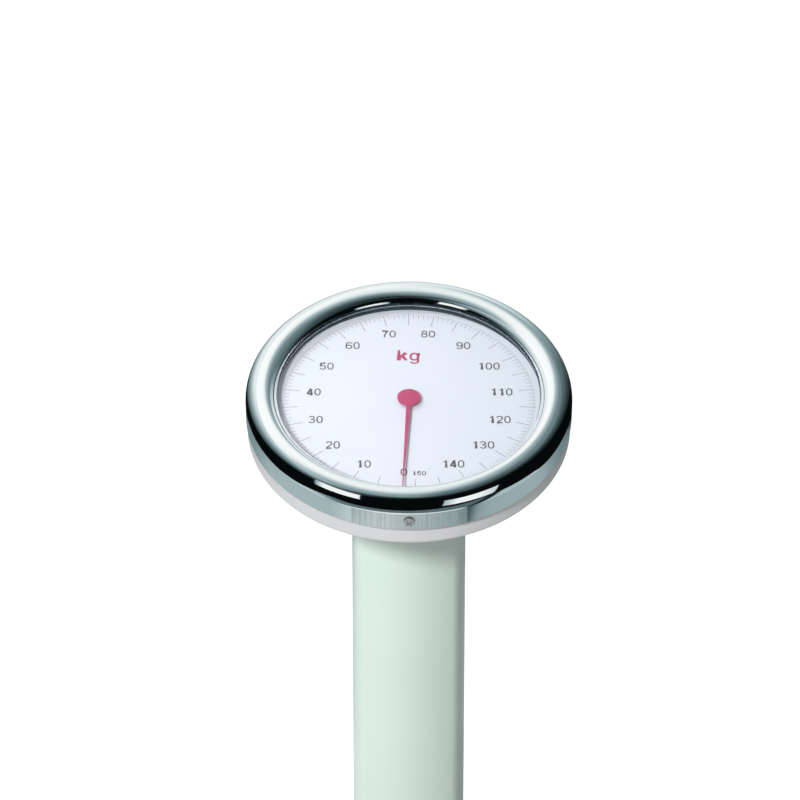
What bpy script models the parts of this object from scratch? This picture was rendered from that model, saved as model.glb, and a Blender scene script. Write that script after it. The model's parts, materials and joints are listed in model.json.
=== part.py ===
"""Mechanical column scale: a dial head on a painted column, over a weighing platform on two levers."""
import math

import bmesh
import bpy
from mathutils import Matrix

# Clearances
GAP = 0.0003                    # between neighbouring pieces
OVERRUN = 0.006                 # how far a cutter runs past what it cuts

# Footprint
HALF_DEPTH = 0.250              # origin to the platform's front edge, and to the back of the head
PLATFORM_WIDTH = 0.320
PLATFORM_BACK_GAP = 0.007       # from the raised deck
PLATFORM_TOP = 0.075
PLATFORM_SHEET = 0.003
PLATFORM_SKIRT = 0.034          # height of the turned-down edge
PLATFORM_CORNER = 0.028
PLATFORM_EDGE = 0.0025          # softened top edge
MAT_INSET = 0.013
MAT_THICKNESS = 0.004
MAT_RIB_PITCH = 0.0098
MAT_GROOVE = 0.0030
MAT_GROOVE_DEPTH = 0.0015

# Base casting
BASE_SIDE_INSET = 0.010         # inside the platform's edge
BASE_UNDERSIDE = 0.010
BASE_FLOOR = 0.004
BASE_WALL = 0.005
BASE_CORNER = 0.030
BASE_FRONT_INSET = 0.010        # from the platform's front edge
BASE_RIM = 0.034                # top of the tray's wall, under the platform's edge
DECK_TOP = 0.065
DECK_THICKNESS = 0.005
DECK_AHEAD_OF_COLUMN = 0.0685   # from the column's axis to the deck's front edge
DECK_BEHIND_COLUMN = 0.066      # from the column's axis to the back of the base
ROD_PORT_WIDTH = 0.030
ROD_PORT_DEPTH = 0.020

# Feet
FOOT_SIDE_INSET = 0.025         # from the side of the base
FOOT_FRONT_INSET = 0.018        # from the front of the base
FOOT_BACK_INSET = 0.026         # from the back of the base
FOOT_PAD_RADIUS = 0.018
FOOT_PAD_TOE = 0.016
FOOT_RECESS_RADIUS = 0.0065
FOOT_RECESS_DEPTH = 0.0035
FOOT_SCREW_RADIUS = 0.0025
FOOT_HEAD_RADIUS = 0.0050
FOOT_HEAD_HEIGHT = 0.0030
FOOT_SCREW_PROUD = 0.005        # above the base's floor

# Levers
KNIFE_Z = 0.050                 # height of every knife's axis
KNIFE_SIDE = 0.007              # square bar, standing on its corner
KNIFE_SIDE_INSET = 0.012        # from the side of the base
LONG_FULCRUM_INSET = 0.035      # from the front of the base
SHORT_FULCRUM_INSET = 0.039     # from the back of the platform
LOAD_SHARE = 0.1685             # load arm, as a share of the way between the fulcrums
CHEEK_SIDE_INSET = 0.038        # from the side of the base to the inside of a cheek
CHEEK_THICKNESS = 0.006
CHEEK_HALF_HEIGHT = 0.008
CHEEK_MARGIN = 0.009            # cheek beyond the knife's axis
CROSS_DEPTH = 0.014             # the long lever's cross bar
CROSS_BEHIND_LOAD = 0.010
BEAM_HALF_WIDTH = 0.006
BEAM_LOW = 0.046
BEAM_HIGH = 0.058
BEAM_PAST_ROD = 0.008
BEAM_NOTCH_ROOM = 0.004         # round the beam, in the platform's back edge
VEE_LOW = 0.0335                # the short lever's plate
VEE_HIGH = 0.0415
VEE_TONGUE = 0.008              # half length of the tongue in the link
VEE_ROOT_DEPTH = 0.018          # width of an arm at the cheek
VEE_CROTCH = 0.017              # from the link to the inside of the vee
SEAT_SIDE_INSET = 0.024         # from the side of the base to the inside of bearings and saddles
SEAT_WIDTH = 0.010
SEAT_HALF_DEPTH = 0.010
SEAT_SHOULDER = 0.001           # how far a seat's shoulders stop short of the knife's axis
SEAT_HALF_ANGLE = math.radians(60)
LINK_SIDE_GAP = 0.0015
LINK_WIRE = 0.0025
LINK_HALF_DEPTH = 0.002

# Column
COLUMN_WIDTH = 0.105
COLUMN_DEPTH = 0.070
COLUMN_CORNER = 0.012
COLUMN_WALL = 0.002
FOOT_PLATE_WIDTH = 0.160
FOOT_PLATE_DEPTH = 0.112
FOOT_PLATE_THICKNESS = 0.005
FOOT_PLATE_CORNER = 0.016
COLLAR_WALL = 0.004
COLLAR_HEIGHT = 0.040
BOLT_INSET = 0.012              # from the foot plate's edges
BOLT_RADIUS = 0.004
BOLT_HEAD_RADIUS = 0.0065
BOLT_HEAD_HEIGHT = 0.005
BOLT_PROUD = 0.004              # below the deck

# Draft rod, spring and damper
ROD_AHEAD = 0.022               # in front of the column's axis
ROD_RADIUS = 0.003
ROD_TOP_PROUD = 0.004
STIRRUP_ROOM = 0.002            # free height over the lever's end
PIN_RADIUS = 0.0015
SPRING_X = 0.003
SPRING_BEHIND = 0.008           # behind the column's axis
SPRING_TOP_Z = 0.745
SPRING_BOTTOM_Z = 0.635
SPRING_WIRE = 0.00175
SPRING_RADIUS = 0.0125
SPRING_TURNS = 16
SPRING_NECK = 0.012             # from an eye to the coil
HOOK_RADIUS = 0.002
HOOK_PAST_SPRING = 0.008
ZERO_SHAFT_RADIUS = 0.004
ZERO_WEB_RADIUS = 0.008
ZERO_WEB_THICKNESS = 0.003
ZERO_COLLAR_THICKNESS = 0.0035
KNOB_RADIUS = 0.014
KNOB_LENGTH = 0.016
KNOB_FLUTES = 24
KNOB_FLUTE_DEPTH = 0.0008
KNOB_CHAMFER = 0.0015
KNOB_BORE_DEPTH = 0.011
DAMPER_X = 0.030
DAMPER_LOW = 0.480
DAMPER_HIGH = 0.560
DAMPER_RADIUS = 0.0105
DAMPER_WALL = 0.0015
DAMPER_FLOOR = 0.003
PISTON_Z = 0.535
PISTON_THICKNESS = 0.004
PISTON_STEM_RADIUS = 0.002
PISTON_CLAMP_Z = 0.600
PISTON_CLAMP_HEIGHT = 0.006
PISTON_CLAMP_RADIUS = 0.006
PISTON_TONGUE_HALF = 0.002

# Head
TILT = math.radians(20)         # the dial's face leans toward the user
DIAL_Z = 0.905                  # centre of the dial above the floor
HEAD_RADIUS = 0.150
CROWN_RADIUS = 0.0125           # half-round crown of the bezel
CROWN_BASE = 0.0080             # above the dial
SKIRT_DEPTH = 0.0226            # below the crown
BEZEL_WALL = 0.0015
GLASS_INSET = 0.020             # this and the next five are from the head's radius
GLASS_THICKNESS = 0.002
SEAL_WIDTH = 0.0036
SEAL_BELOW_GLASS = 0.001
SEAL_ABOVE_GLASS = 0.001
SPACER_LIP = 0.0045             # width of the spacer's raised inner wall
DIAL_INSET = 0.009
DIAL_THICKNESS = 0.001
DIAL_HOLE_RADIUS = 0.004
HOUSING_WALL = 0.002
HOUSING_LEDGE_INSET = 0.014
HOUSING_WAIST_DEPTH = 0.012     # where the wall starts to draw in, below the dial
HOUSING_WAIST_INSET = 0.0032
HOUSING_NECK_DEPTH = 0.0142
HOUSING_LIP_INSET = 0.001
HOUSING_LIP_DEPTH = 0.030
HOUSING_TURN = 0.0045           # the rolled edge under the lip
HOUSING_FLAT_INSET = 0.060
HOUSING_DEPTH = 0.050
BEZEL_SCREW_DEPTH = 0.0035      # below the dial
BEZEL_SCREW_RADIUS = 0.002
BEZEL_SCREW_LENGTH = 0.007
BEZEL_SCREW_HEAD = 0.0050
BEZEL_SCREW_HEAD_HEIGHT = 0.0022
BEZEL_SCREW_SLOT = 0.0010       # width of the cross recess
BEZEL_SCREW_SLOT_LENGTH = 0.0056
BEZEL_SCREW_SLOT_DEPTH = 0.0010
BEZEL_SCREW_ANGLES = (math.radians(-90), math.radians(30), math.radians(150))

# Bracket between column and head
BRACKET_WALL = 0.003
BRACKET_FOOT_Z = 0.795
FLANGE_INSET = 0.004            # from the edge of the housing's flat bottom
FLANGE_THICKNESS = 0.003

# Pointer movement, in the head's own frame
DIAL_SWEEP = math.radians(354.1)
ZERO_ANGLE = math.radians(2.95) # zero mark, left of the bottom
MODULE = 0.0007
PINION_TEETH = 12
PRESSURE_ANGLE = math.radians(20)
BACKLASH = 0.00012              # taken off each flank
PINION_ADDENDUM = 0.0006
PINION_ROOT = 0.0007            # below the pitch circle
PINION_LOW = -0.019
PINION_HIGH = -0.014
RACK_ADDENDUM = 0.00045
RACK_DEDENDUM = 0.00085
RACK_BACK = 0.010
RACK_LOW = -0.0185
RACK_HIGH = -0.0145
RACK_TAIL = 0.036
RACK_NOSE = 0.060
SHAFT_RADIUS = 0.0015
SHAFT_LOW = -0.0265
SHAFT_HIGH = 0.0040
BUSH_RADIUS = 0.004
BUSH_HEIGHT = 0.0022
PLATE_LOW = -0.0245             # the movement's lower plate
PLATE_HIGH = -0.0225
PLATE_INSET = 0.027             # from the edge of the housing's flat bottom
PLATE_HALF_DEPTH = 0.040
PLATE_LEG = 0.003
PLATE_SLOT_SIDE = 0.0015        # room beside the crank's arm
PLATE_SLOT_LOW_Y = -0.016
PLATE_SLOT_HIGH_Y = 0.0195
BRIDGE_LOW = -0.009
BRIDGE_HIGH = -0.007
BRIDGE_PILLAR_X = -0.030
BRIDGE_PILLAR = 0.008
BRIDGE_NOSE_X = 0.009
BRIDGE_HALF_DEPTH = 0.010
GUIDE_BED = 0.002
GUIDE_WALL = 0.002
GUIDE_FRONT_Y = -0.033
GUIDE_BACK_Y = 0.031
GUIDE_BLOCK = 0.012
CRANK_BEHIND = 0.022            # pivot behind the column's axis
CRANK_X = 0.014
CRANK_THICKNESS = 0.003
CRANK_ARM_WIDTH = 0.008
CRANK_ARM_END = 0.0028          # arm beyond the slot
CRANK_HUB_RADIUS = 0.005
CRANK_HUB_HALF = 0.0105
CRANK_PIN_RADIUS = 0.0025
PIN_PAST_CRANK = 0.0015
POINTER_HUB_RADIUS = 0.0107
POINTER_LOW = 0.0032
POINTER_HIGH = 0.0048
POINTER_ARM_THICKNESS = 0.0008
POINTER_INSET = 0.034           # from the head's radius
POINTER_ROOT_WIDTH = 0.0038
POINTER_TIP_WIDTH = 0.0009
POINTER_CAP = 0.0005            # metal over the end of the shaft

# Facets
FINE = 60                       # round the head
COARSE = 24
TINY = 12
CORNER_STEPS = 5
CROWN_STEPS = 9
COIL_STEPS = 8
EYE_STEPS = 8
HEX_SIDES = 6
ROLL_STEPS = 4


def in_head(r, h):
    """How far back a point of the head's outline reaches, seen from the side."""
    return r * math.cos(TILT) - h * math.sin(TILT)


GLASS_RADIUS = HEAD_RADIUS - GLASS_INSET
DIAL_RADIUS = HEAD_RADIUS - DIAL_INSET
CROWN_CENTRE = HEAD_RADIUS - CROWN_RADIUS
GLASS_TOP = CROWN_BASE - GAP
GLASS_LOW = GLASS_TOP - GLASS_THICKNESS
WINDOW_RADIUS = HEAD_RADIUS - 2 * CROWN_RADIUS
SKIRT_LOW = CROWN_BASE - SKIRT_DEPTH
HOUSING_TOP = -DIAL_THICKNESS - GAP
HOUSING_TOP_RADIUS = HEAD_RADIUS - BEZEL_WALL - GAP
HOUSING_LEDGE_RADIUS = HEAD_RADIUS - HOUSING_LEDGE_INSET
HOUSING_WAIST_RADIUS = HEAD_RADIUS - HOUSING_WAIST_INSET
HOUSING_FLAT_RADIUS = HEAD_RADIUS - HOUSING_FLAT_INSET
ROLL_RADIUS = HEAD_RADIUS - HOUSING_LIP_INSET - HOUSING_TURN
FLANGE_RADIUS = HOUSING_FLAT_RADIUS - FLANGE_INSET
PLATE_HALF_WIDTH = HOUSING_FLAT_RADIUS - PLATE_INSET
POINTER_LENGTH = HEAD_RADIUS - POINTER_INSET
ROLL_REACH = in_head(ROLL_RADIUS, -HOUSING_LIP_DEPTH) + HOUSING_TURN
HEAD_REACH = max(in_head(HEAD_RADIUS, SKIRT_LOW), ROLL_REACH)
COLUMN_Y = HALF_DEPTH - HEAD_REACH
BASE_WIDTH = PLATFORM_WIDTH - 2 * BASE_SIDE_INSET
BASE_FRONT_Y = BASE_FRONT_INSET - HALF_DEPTH
BASE_BACK_Y = COLUMN_Y + DECK_BEHIND_COLUMN
DECK_FRONT_Y = COLUMN_Y - DECK_AHEAD_OF_COLUMN
PLATFORM_BACK_Y = DECK_FRONT_Y - PLATFORM_BACK_GAP
FOOT_X = BASE_WIDTH / 2 - FOOT_SIDE_INSET
FOOT_FRONT_Y = BASE_FRONT_Y + FOOT_FRONT_INSET
KNIFE_REACH_X = BASE_WIDTH / 2 - KNIFE_SIDE_INSET
CHEEK_INNER_X = BASE_WIDTH / 2 - CHEEK_SIDE_INSET
SEAT_X = BASE_WIDTH / 2 - SEAT_SIDE_INSET
LONG_FULCRUM_Y = BASE_FRONT_Y + LONG_FULCRUM_INSET
SHORT_FULCRUM_Y = PLATFORM_BACK_Y - SHORT_FULCRUM_INSET
LOAD_ARM = LOAD_SHARE * (SHORT_FULCRUM_Y - LONG_FULCRUM_Y)
BOLT_X = FOOT_PLATE_WIDTH / 2 - BOLT_INSET
BOLT_Y = FOOT_PLATE_DEPTH / 2 - BOLT_INSET
FLOOR_TOP = BASE_UNDERSIDE + BASE_FLOOR
DECK_LOW = DECK_TOP - DECK_THICKNESS
ROD_Y = COLUMN_Y - ROD_AHEAD
LINK_Y = (LONG_FULCRUM_Y + SHORT_FULCRUM_Y) / 2
KNIFE_CORNER = KNIFE_SIDE / math.sqrt(2)
CRANK_ARM = ROD_AHEAD + CRANK_BEHIND        # pivot to either pin, at mid travel
RACK_PIN_H = (RACK_LOW + RACK_HIGH) / 2
CRANK_BELOW = (CRANK_ARM - RACK_PIN_H - CRANK_BEHIND * math.sin(TILT)) / math.cos(TILT)
CRANK_Y = COLUMN_Y + CRANK_BEHIND
CRANK_Z = DIAL_Z - CRANK_BELOW
PITCH_RADIUS = MODULE * PINION_TEETH / 2
TRAVEL = PITCH_RADIUS * DIAL_SWEEP          # of the rack, and of the draft rod
HALF_TRAVEL = TRAVEL / 2
CRANK_SWING = math.atan(HALF_TRAVEL / CRANK_ARM)
LONG_LENGTH = ROD_Y - LONG_FULCRUM_Y
LEVER_SWING = TRAVEL / LONG_LENGTH
PLATFORM_TRAVEL = LOAD_ARM * LEVER_SWING
LINK_TRAVEL = (LINK_Y - LONG_FULCRUM_Y) * LEVER_SWING
CRANK_PIVOT_Y = CRANK_BEHIND * math.cos(TILT) - CRANK_BELOW * math.sin(TILT)
RACK_PIN_Y = CRANK_PIVOT_Y + HALF_TRAVEL
ROD_PIN_Z = CRANK_Z + HALF_TRAVEL


def material(name, colour, roughness, metallic=0.0):
    """A plain finish for one kind of piece."""
    finish = bpy.data.materials.new(name)
    finish.use_nodes = True
    shader = finish.node_tree.nodes["Principled BSDF"]
    shader.inputs["Base Color"].default_value = (*colour, 1.0)
    shader.inputs["Roughness"].default_value = roughness
    shader.inputs["Metallic"].default_value = metallic
    finish.diffuse_color = (*colour, 1.0)
    return finish


def node(name, bm, finish, parent=None, smooth=True):
    """Turn a finished bmesh into a named piece."""
    bmesh.ops.recalc_face_normals(bm, faces=bm.faces)
    if bm.calc_volume(signed=True) < 0:
        bmesh.ops.reverse_faces(bm, faces=bm.faces)
    mesh = bpy.data.meshes.new(name)
    bm.to_mesh(mesh)
    bm.free()
    if finish is not None:
        mesh.materials.append(finish)
    if smooth:
        mesh.shade_smooth()
        mesh.set_sharp_from_angle(angle=math.radians(35))
    piece = bpy.data.objects.new(name, mesh)
    bpy.context.scene.collection.objects.link(piece)
    piece.parent = parent
    return piece


def frame_empty(name, location, rotation=(0, 0, 0)):
    """A reference frame that pieces are parented to."""
    empty = bpy.data.objects.new(name, None)
    bpy.context.scene.collection.objects.link(empty)
    empty.location = location
    empty.rotation_euler = rotation
    return empty


def tool(name, bm, parent=None):
    """A hidden shape that a Boolean cuts with or joins on."""
    shape = node(name, bm, None, parent, smooth=False)
    shape.hide_render = True
    shape.display_type = "WIRE"
    return shape


def boolean(piece, shape, operation):
    step = piece.modifiers.new(shape.name, "BOOLEAN")
    step.operation = operation
    step.object = shape
    step.solver = "EXACT"


def cut(piece, *shapes):
    for shape in shapes:
        boolean(piece, shape, "DIFFERENCE")


def join(piece, *shapes):
    for shape in shapes:
        boolean(piece, shape, "UNION")


def rectangle(half_x, half_y, corner, centre_y=0.0):
    """Points of a rectangle with round corners, anticlockwise from the right."""
    points = []
    for quarter, (side_x, side_y) in enumerate(((1, 1), (-1, 1), (-1, -1), (1, -1))):
        for step in range(CORNER_STEPS + 1):
            angle = math.radians(90) * (quarter + step / CORNER_STEPS)
            points.append((side_x * (half_x - corner) + corner * math.cos(angle),
                           centre_y + side_y * (half_y - corner) + corner * math.sin(angle)))
    return points


def lofted(levels, closed=False):
    """Walls between outlines at successive heights: levels holds (outline, height) pairs."""
    bm = bmesh.new()
    loops = [[bm.verts.new((x, y, z)) for x, y in outline] for outline, z in levels]
    pairs = list(zip(loops, loops[1:]))
    if closed:
        pairs.append((loops[-1], loops[0]))
    else:
        bm.faces.new(loops[0])
        bm.faces.new(loops[-1])
    for lower, upper in pairs:
        for i in range(len(lower)):
            bm.faces.new((lower[i - 1], lower[i], upper[i], upper[i - 1]))
    return bm


def prism(outline, low, high):
    return lofted([(outline, low), (outline, high)])


def block(low, high):
    """A box between two corners."""
    outline = [(low[0], low[1]), (high[0], low[1]), (high[0], high[1]), (low[0], high[1])]
    return prism(outline, low[2], high[2])


def turned(profile, steps, closed=False):
    """Spin a profile of (radius, height) points about Z, and cap what stays open."""
    bm = bmesh.new()
    verts = [bm.verts.new((radius, 0, height)) for radius, height in profile]
    edges = [bm.edges.new(pair) for pair in zip(verts, verts[1:])]
    if closed:
        edges.append(bm.edges.new((verts[-1], verts[0])))
    bmesh.ops.spin(bm, geom=verts + edges, cent=(0, 0, 0), axis=(0, 0, 1), angle=math.tau,
                   steps=steps, use_merge=True)
    bmesh.ops.holes_fill(bm, edges=bm.edges, sides=0)
    return bm


def disc(radius, low, high, steps=COARSE):
    return turned([(radius, low), (radius, high)], steps)


def placed(bm, matrix):
    bmesh.ops.transform(bm, matrix=matrix, verts=bm.verts)
    return bm


def along_x(bm, x=0.0, y=0.0, z=0.0):
    """Turn a shape made along Z so that it points along +X."""
    return placed(bm, Matrix.Translation((x, y, z)) @ Matrix.Rotation(math.radians(90), 4, "Y"))


def along_y(bm, x=0.0, y=0.0, z=0.0):
    """Turn a shape made along Z so that it points along +Y."""
    return placed(bm, Matrix.Translation((x, y, z)) @ Matrix.Rotation(math.radians(-90), 4, "X"))


TO_SIDE = Matrix(((0, 0, 1, 0), (1, 0, 0, 0), (0, 1, 0, 0), (0, 0, 0, 1)))
TO_FRONT = Matrix(((1, 0, 0, 0), (0, 0, 1, 0), (0, 1, 0, 0), (0, 0, 0, 1)))


def side_prism(outline, low_x, high_x):
    """Extrude an outline of (y, z) points along X."""
    return placed(prism(outline, low_x, high_x), TO_SIDE)


def front_prism(outline, low_y, high_y):
    """Extrude an outline of (x, z) points along Y."""
    return placed(prism(outline, low_y, high_y), TO_FRONT)


for stale in list(bpy.data.objects):
    bpy.data.objects.remove(stale, do_unlink=True)

CHROME = material("polished chrome", (0.78, 0.80, 0.80), 0.06, 1.0)
STEEL = material("zinc plated steel", (0.56, 0.57, 0.58), 0.35, 1.0)
BRASS = material("turned brass", (0.72, 0.55, 0.25), 0.30, 1.0)
SATIN = material("satin steel ring", (0.42, 0.46, 0.47), 0.35, 1.0)
COLUMN_PAINT = material("pale green paint", (0.74, 0.83, 0.78), 0.45)
WHITE_PAINT = material("pale grey paint", (0.76, 0.77, 0.77), 0.40)
BASE_PAINT = material("base paint", (0.72, 0.80, 0.75), 0.50)
DIAL_FACE = material("white dial", (0.90, 0.92, 0.95), 0.45)
RED = material("crimson pointer", (0.58, 0.04, 0.14), 0.40)
GLASS = material("window glass", (0.95, 0.97, 0.97), 0.03)
RUBBER = material("black rubber", (0.03, 0.03, 0.03), 0.80)
MAT_RUBBER = material("ribbed mat", (0.07, 0.07, 0.075), 0.75)
CAST_IRON = material("cast lever", (0.20, 0.21, 0.22), 0.60, 0.6)

head = frame_empty("head_frame", (0, COLUMN_Y, DIAL_Z), (TILT, 0, 0))
column_outline = rectangle(COLUMN_WIDTH / 2, COLUMN_DEPTH / 2, COLUMN_CORNER, COLUMN_Y)
column_bore = rectangle(COLUMN_WIDTH / 2 - COLUMN_WALL, COLUMN_DEPTH / 2 - COLUMN_WALL,
                        COLUMN_CORNER - COLUMN_WALL, COLUMN_Y)
foot_places = [(x, y) for y in (FOOT_FRONT_Y, BASE_BACK_Y - FOOT_BACK_INSET) for x in (-FOOT_X, FOOT_X)]
bolt_places = [(x, COLUMN_Y + y) for y in (-BOLT_Y, BOLT_Y) for x in (-BOLT_X, BOLT_X)]


def base_outline(inset, front_y):
    """The casting's outline from a given front edge to its back, drawn in by an inset."""
    half_y = (BASE_BACK_Y - front_y) / 2
    centre = (front_y + BASE_BACK_Y) / 2
    return rectangle(BASE_WIDTH / 2 - inset, half_y - inset, BASE_CORNER - inset, centre)


def build_base():
    """The cast tray, with a raised deck at the back for the column."""
    base = node("base_frame", prism(base_outline(0, BASE_FRONT_Y), BASE_UNDERSIDE, BASE_RIM), BASE_PAINT)
    join(base, tool("deck_block", prism(base_outline(0, DECK_FRONT_Y), BASE_RIM - BASE_WALL, DECK_TOP)))
    cut(base, tool("tray_cut", prism(base_outline(BASE_WALL, BASE_FRONT_Y), FLOOR_TOP, DECK_LOW)))
    port = block((-ROD_PORT_WIDTH / 2, ROD_Y - ROD_PORT_DEPTH / 2, DECK_LOW - OVERRUN),
                 (ROD_PORT_WIDTH / 2, ROD_Y + ROD_PORT_DEPTH / 2, DECK_TOP + OVERRUN))
    cut(base, tool("rod_port", port))
    for number, (x, y) in enumerate(bolt_places, 1):
        hole = disc(BOLT_RADIUS + GAP, DECK_LOW - OVERRUN, DECK_TOP + OVERRUN, TINY)
        cut(base, tool(f"deck_hole_{number}", placed(hole, Matrix.Translation((x, y, 0)))))
    for number, (x, y) in enumerate(foot_places, 1):
        hole = disc(FOOT_SCREW_RADIUS + GAP, BASE_UNDERSIDE - OVERRUN, FLOOR_TOP + OVERRUN, TINY)
        cut(base, tool(f"floor_hole_{number}", placed(hole, Matrix.Translation((x, y, 0)))))


def build_feet():
    """A rubber pad at each corner, held by a screw whose head sits up in a recess."""
    pad_top = BASE_UNDERSIDE - GAP
    bore = FOOT_SCREW_RADIUS + GAP
    pad = [(FOOT_RECESS_RADIUS, 0), (FOOT_PAD_TOE, 0), (FOOT_PAD_RADIUS, pad_top), (bore, pad_top),
           (bore, FOOT_RECESS_DEPTH), (FOOT_RECESS_RADIUS, FOOT_RECESS_DEPTH)]
    head_top = FOOT_RECESS_DEPTH - GAP
    screw = [(FOOT_HEAD_RADIUS, head_top - FOOT_HEAD_HEIGHT), (FOOT_HEAD_RADIUS, head_top),
             (FOOT_SCREW_RADIUS, head_top), (FOOT_SCREW_RADIUS, FLOOR_TOP + FOOT_SCREW_PROUD)]
    for number, (x, y) in enumerate(foot_places, 1):
        shift = Matrix.Translation((x, y, 0))
        node(f"foot_pad_{number}", placed(turned(pad, COARSE, closed=True), shift), RUBBER)
        node(f"foot_screw_{number}", placed(turned(screw, TINY), shift), STEEL)


def knife(name, low_x, high_x, y):
    """A square steel bar along X that stands on its corner."""
    outline = [(y, KNIFE_Z - KNIFE_CORNER), (y + KNIFE_CORNER, KNIFE_Z), (y, KNIFE_Z + KNIFE_CORNER),
               (y - KNIFE_CORNER, KNIFE_Z)]
    node(name, side_prism(outline, low_x, high_x), STEEL, smooth=False)


def knife_cut(name, low_x, high_x, y):
    """The square hole that a knife is pressed into."""
    corner = KNIFE_CORNER + GAP * math.sqrt(2)
    outline = [(y, KNIFE_Z - corner), (y + corner, KNIFE_Z), (y, KNIFE_Z + corner), (y - corner, KNIFE_Z)]
    return tool(name, side_prism(outline, low_x, high_x))


def build_long_lever():
    """A cross bar with a cheek at each end, and one beam back to the column."""
    load_y = LONG_FULCRUM_Y + LOAD_ARM
    cross_y = load_y + CROSS_BEHIND_LOAD
    outer_x = CHEEK_INNER_X + CHEEK_THICKNESS
    beam = block((-BEAM_HALF_WIDTH, cross_y, BEAM_LOW), (BEAM_HALF_WIDTH, ROD_Y + BEAM_PAST_ROD, BEAM_HIGH))
    lever = node("long_lever", beam, CAST_IRON)
    cross = block((-outer_x, cross_y, BEAM_LOW), (outer_x, cross_y + CROSS_DEPTH, BEAM_HIGH))
    join(lever, tool("long_cross", cross))
    for side, name in ((-1, "left"), (1, "right")):
        xs = sorted((side * CHEEK_INNER_X, side * outer_x))
        cheek = block((xs[0], LONG_FULCRUM_Y - CHEEK_MARGIN, KNIFE_Z - CHEEK_HALF_HEIGHT),
                      (xs[1], cross_y + CROSS_DEPTH, KNIFE_Z + CHEEK_HALF_HEIGHT))
        join(lever, tool(f"long_cheek_{name}", cheek))
    reach = outer_x + OVERRUN
    cut(lever, knife_cut("long_fulcrum_hole", -reach, reach, LONG_FULCRUM_Y),
        knife_cut("long_load_hole", -reach, reach, load_y))
    knife("long_fulcrum_knife", -KNIFE_REACH_X, KNIFE_REACH_X, LONG_FULCRUM_Y)
    knife("long_load_knife", -KNIFE_REACH_X, KNIFE_REACH_X, load_y)


def build_short_lever():
    """A vee that opens to the back, with a cheek at each end, hung from the long lever by its tongue."""
    load_y = SHORT_FULCRUM_Y - LOAD_ARM
    outer_x = CHEEK_INNER_X + CHEEK_THICKNESS
    root_x = CHEEK_INNER_X + CHEEK_THICKNESS / 2
    root_y = load_y - CHEEK_MARGIN + CHEEK_THICKNESS
    tip = LINK_Y - VEE_TONGUE
    tongue = LINK_Y + VEE_TONGUE
    outline = [(-BEAM_HALF_WIDTH, tip), (BEAM_HALF_WIDTH, tip), (BEAM_HALF_WIDTH, tongue),
               (root_x, root_y), (root_x, root_y + VEE_ROOT_DEPTH), (0, LINK_Y + VEE_CROTCH),
               (-root_x, root_y + VEE_ROOT_DEPTH), (-root_x, root_y), (-BEAM_HALF_WIDTH, tongue)]
    lever = node("short_lever", prism(outline, VEE_LOW, VEE_HIGH), CAST_IRON)
    for side, name in ((-1, "left"), (1, "right")):
        xs = sorted((side * CHEEK_INNER_X, side * outer_x))
        cheek = block((xs[0], load_y - CHEEK_MARGIN, VEE_LOW),
                      (xs[1], SHORT_FULCRUM_Y + CHEEK_MARGIN, KNIFE_Z + CHEEK_HALF_HEIGHT))
        join(lever, tool(f"short_cheek_{name}", cheek))
    reach = outer_x + OVERRUN
    cut(lever, knife_cut("short_fulcrum_hole", -reach, reach, SHORT_FULCRUM_Y),
        knife_cut("short_load_hole", -reach, reach, load_y))
    inner_x = CHEEK_INNER_X - CHEEK_THICKNESS
    for side, name in ((-1, "left"), (1, "right")):
        xs = sorted((side * inner_x, side * KNIFE_REACH_X))
        knife(f"short_fulcrum_knife_{name}", xs[0], xs[1], SHORT_FULCRUM_Y)
        knife(f"short_load_knife_{name}", xs[0], xs[1], load_y)


def seat(name, y, sign, far_z, side, finish):
    """A block with a vee for a knife: sign is 1 for a bearing below it and -1 for a saddle above."""
    apex = KNIFE_Z - sign * (KNIFE_CORNER + GAP)
    shoulder = KNIFE_Z - sign * SEAT_SHOULDER
    half_mouth = abs(shoulder - apex) * math.tan(SEAT_HALF_ANGLE)
    front = y - SEAT_HALF_DEPTH
    back = y + SEAT_HALF_DEPTH
    outline = [(front, far_z), (back, far_z), (back, shoulder), (y + half_mouth, shoulder), (y, apex),
               (y - half_mouth, shoulder), (front, shoulder)]
    xs = sorted((side * SEAT_X, side * (SEAT_X + SEAT_WIDTH)))
    node(name, side_prism(outline, xs[0], xs[1]), finish, smooth=False)


def build_seats():
    """Bearings under the fulcrums on the base's floor, and saddles over the load knives."""
    saddle_top = PLATFORM_TOP - PLATFORM_SHEET - GAP
    rows = ((LONG_FULCRUM_Y, LONG_FULCRUM_Y + LOAD_ARM), (SHORT_FULCRUM_Y, SHORT_FULCRUM_Y - LOAD_ARM))
    places = [(row, side) for row in rows for side in (-1, 1)]
    for number, ((fulcrum_y, load_y), side) in enumerate(places, 1):
        seat(f"fulcrum_bearing_{number}", fulcrum_y, 1, FLOOR_TOP + GAP, side, STEEL)
        seat(f"platform_saddle_{number}", load_y, -1, saddle_top, side, STEEL)


def square_ring(half_inner, wire, inner_low, inner_high):
    """Outlines in (x, z) of an upright loop, outer and inner."""
    outer = [(-half_inner - wire, inner_low - wire), (half_inner + wire, inner_low - wire),
             (half_inner + wire, inner_high + wire), (-half_inner - wire, inner_high + wire)]
    inner = [(-half_inner, inner_low), (half_inner, inner_low), (half_inner, inner_high),
             (-half_inner, inner_high)]
    return outer, inner


def loop_prism(outer, inner, low_y, high_y):
    """A flat loop that stands across Y, as thick as the step from low_y to high_y."""
    levels = [(outer, low_y), (outer, high_y), (inner, high_y), (inner, low_y)]
    return placed(lofted(levels, closed=True), TO_FRONT)


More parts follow.
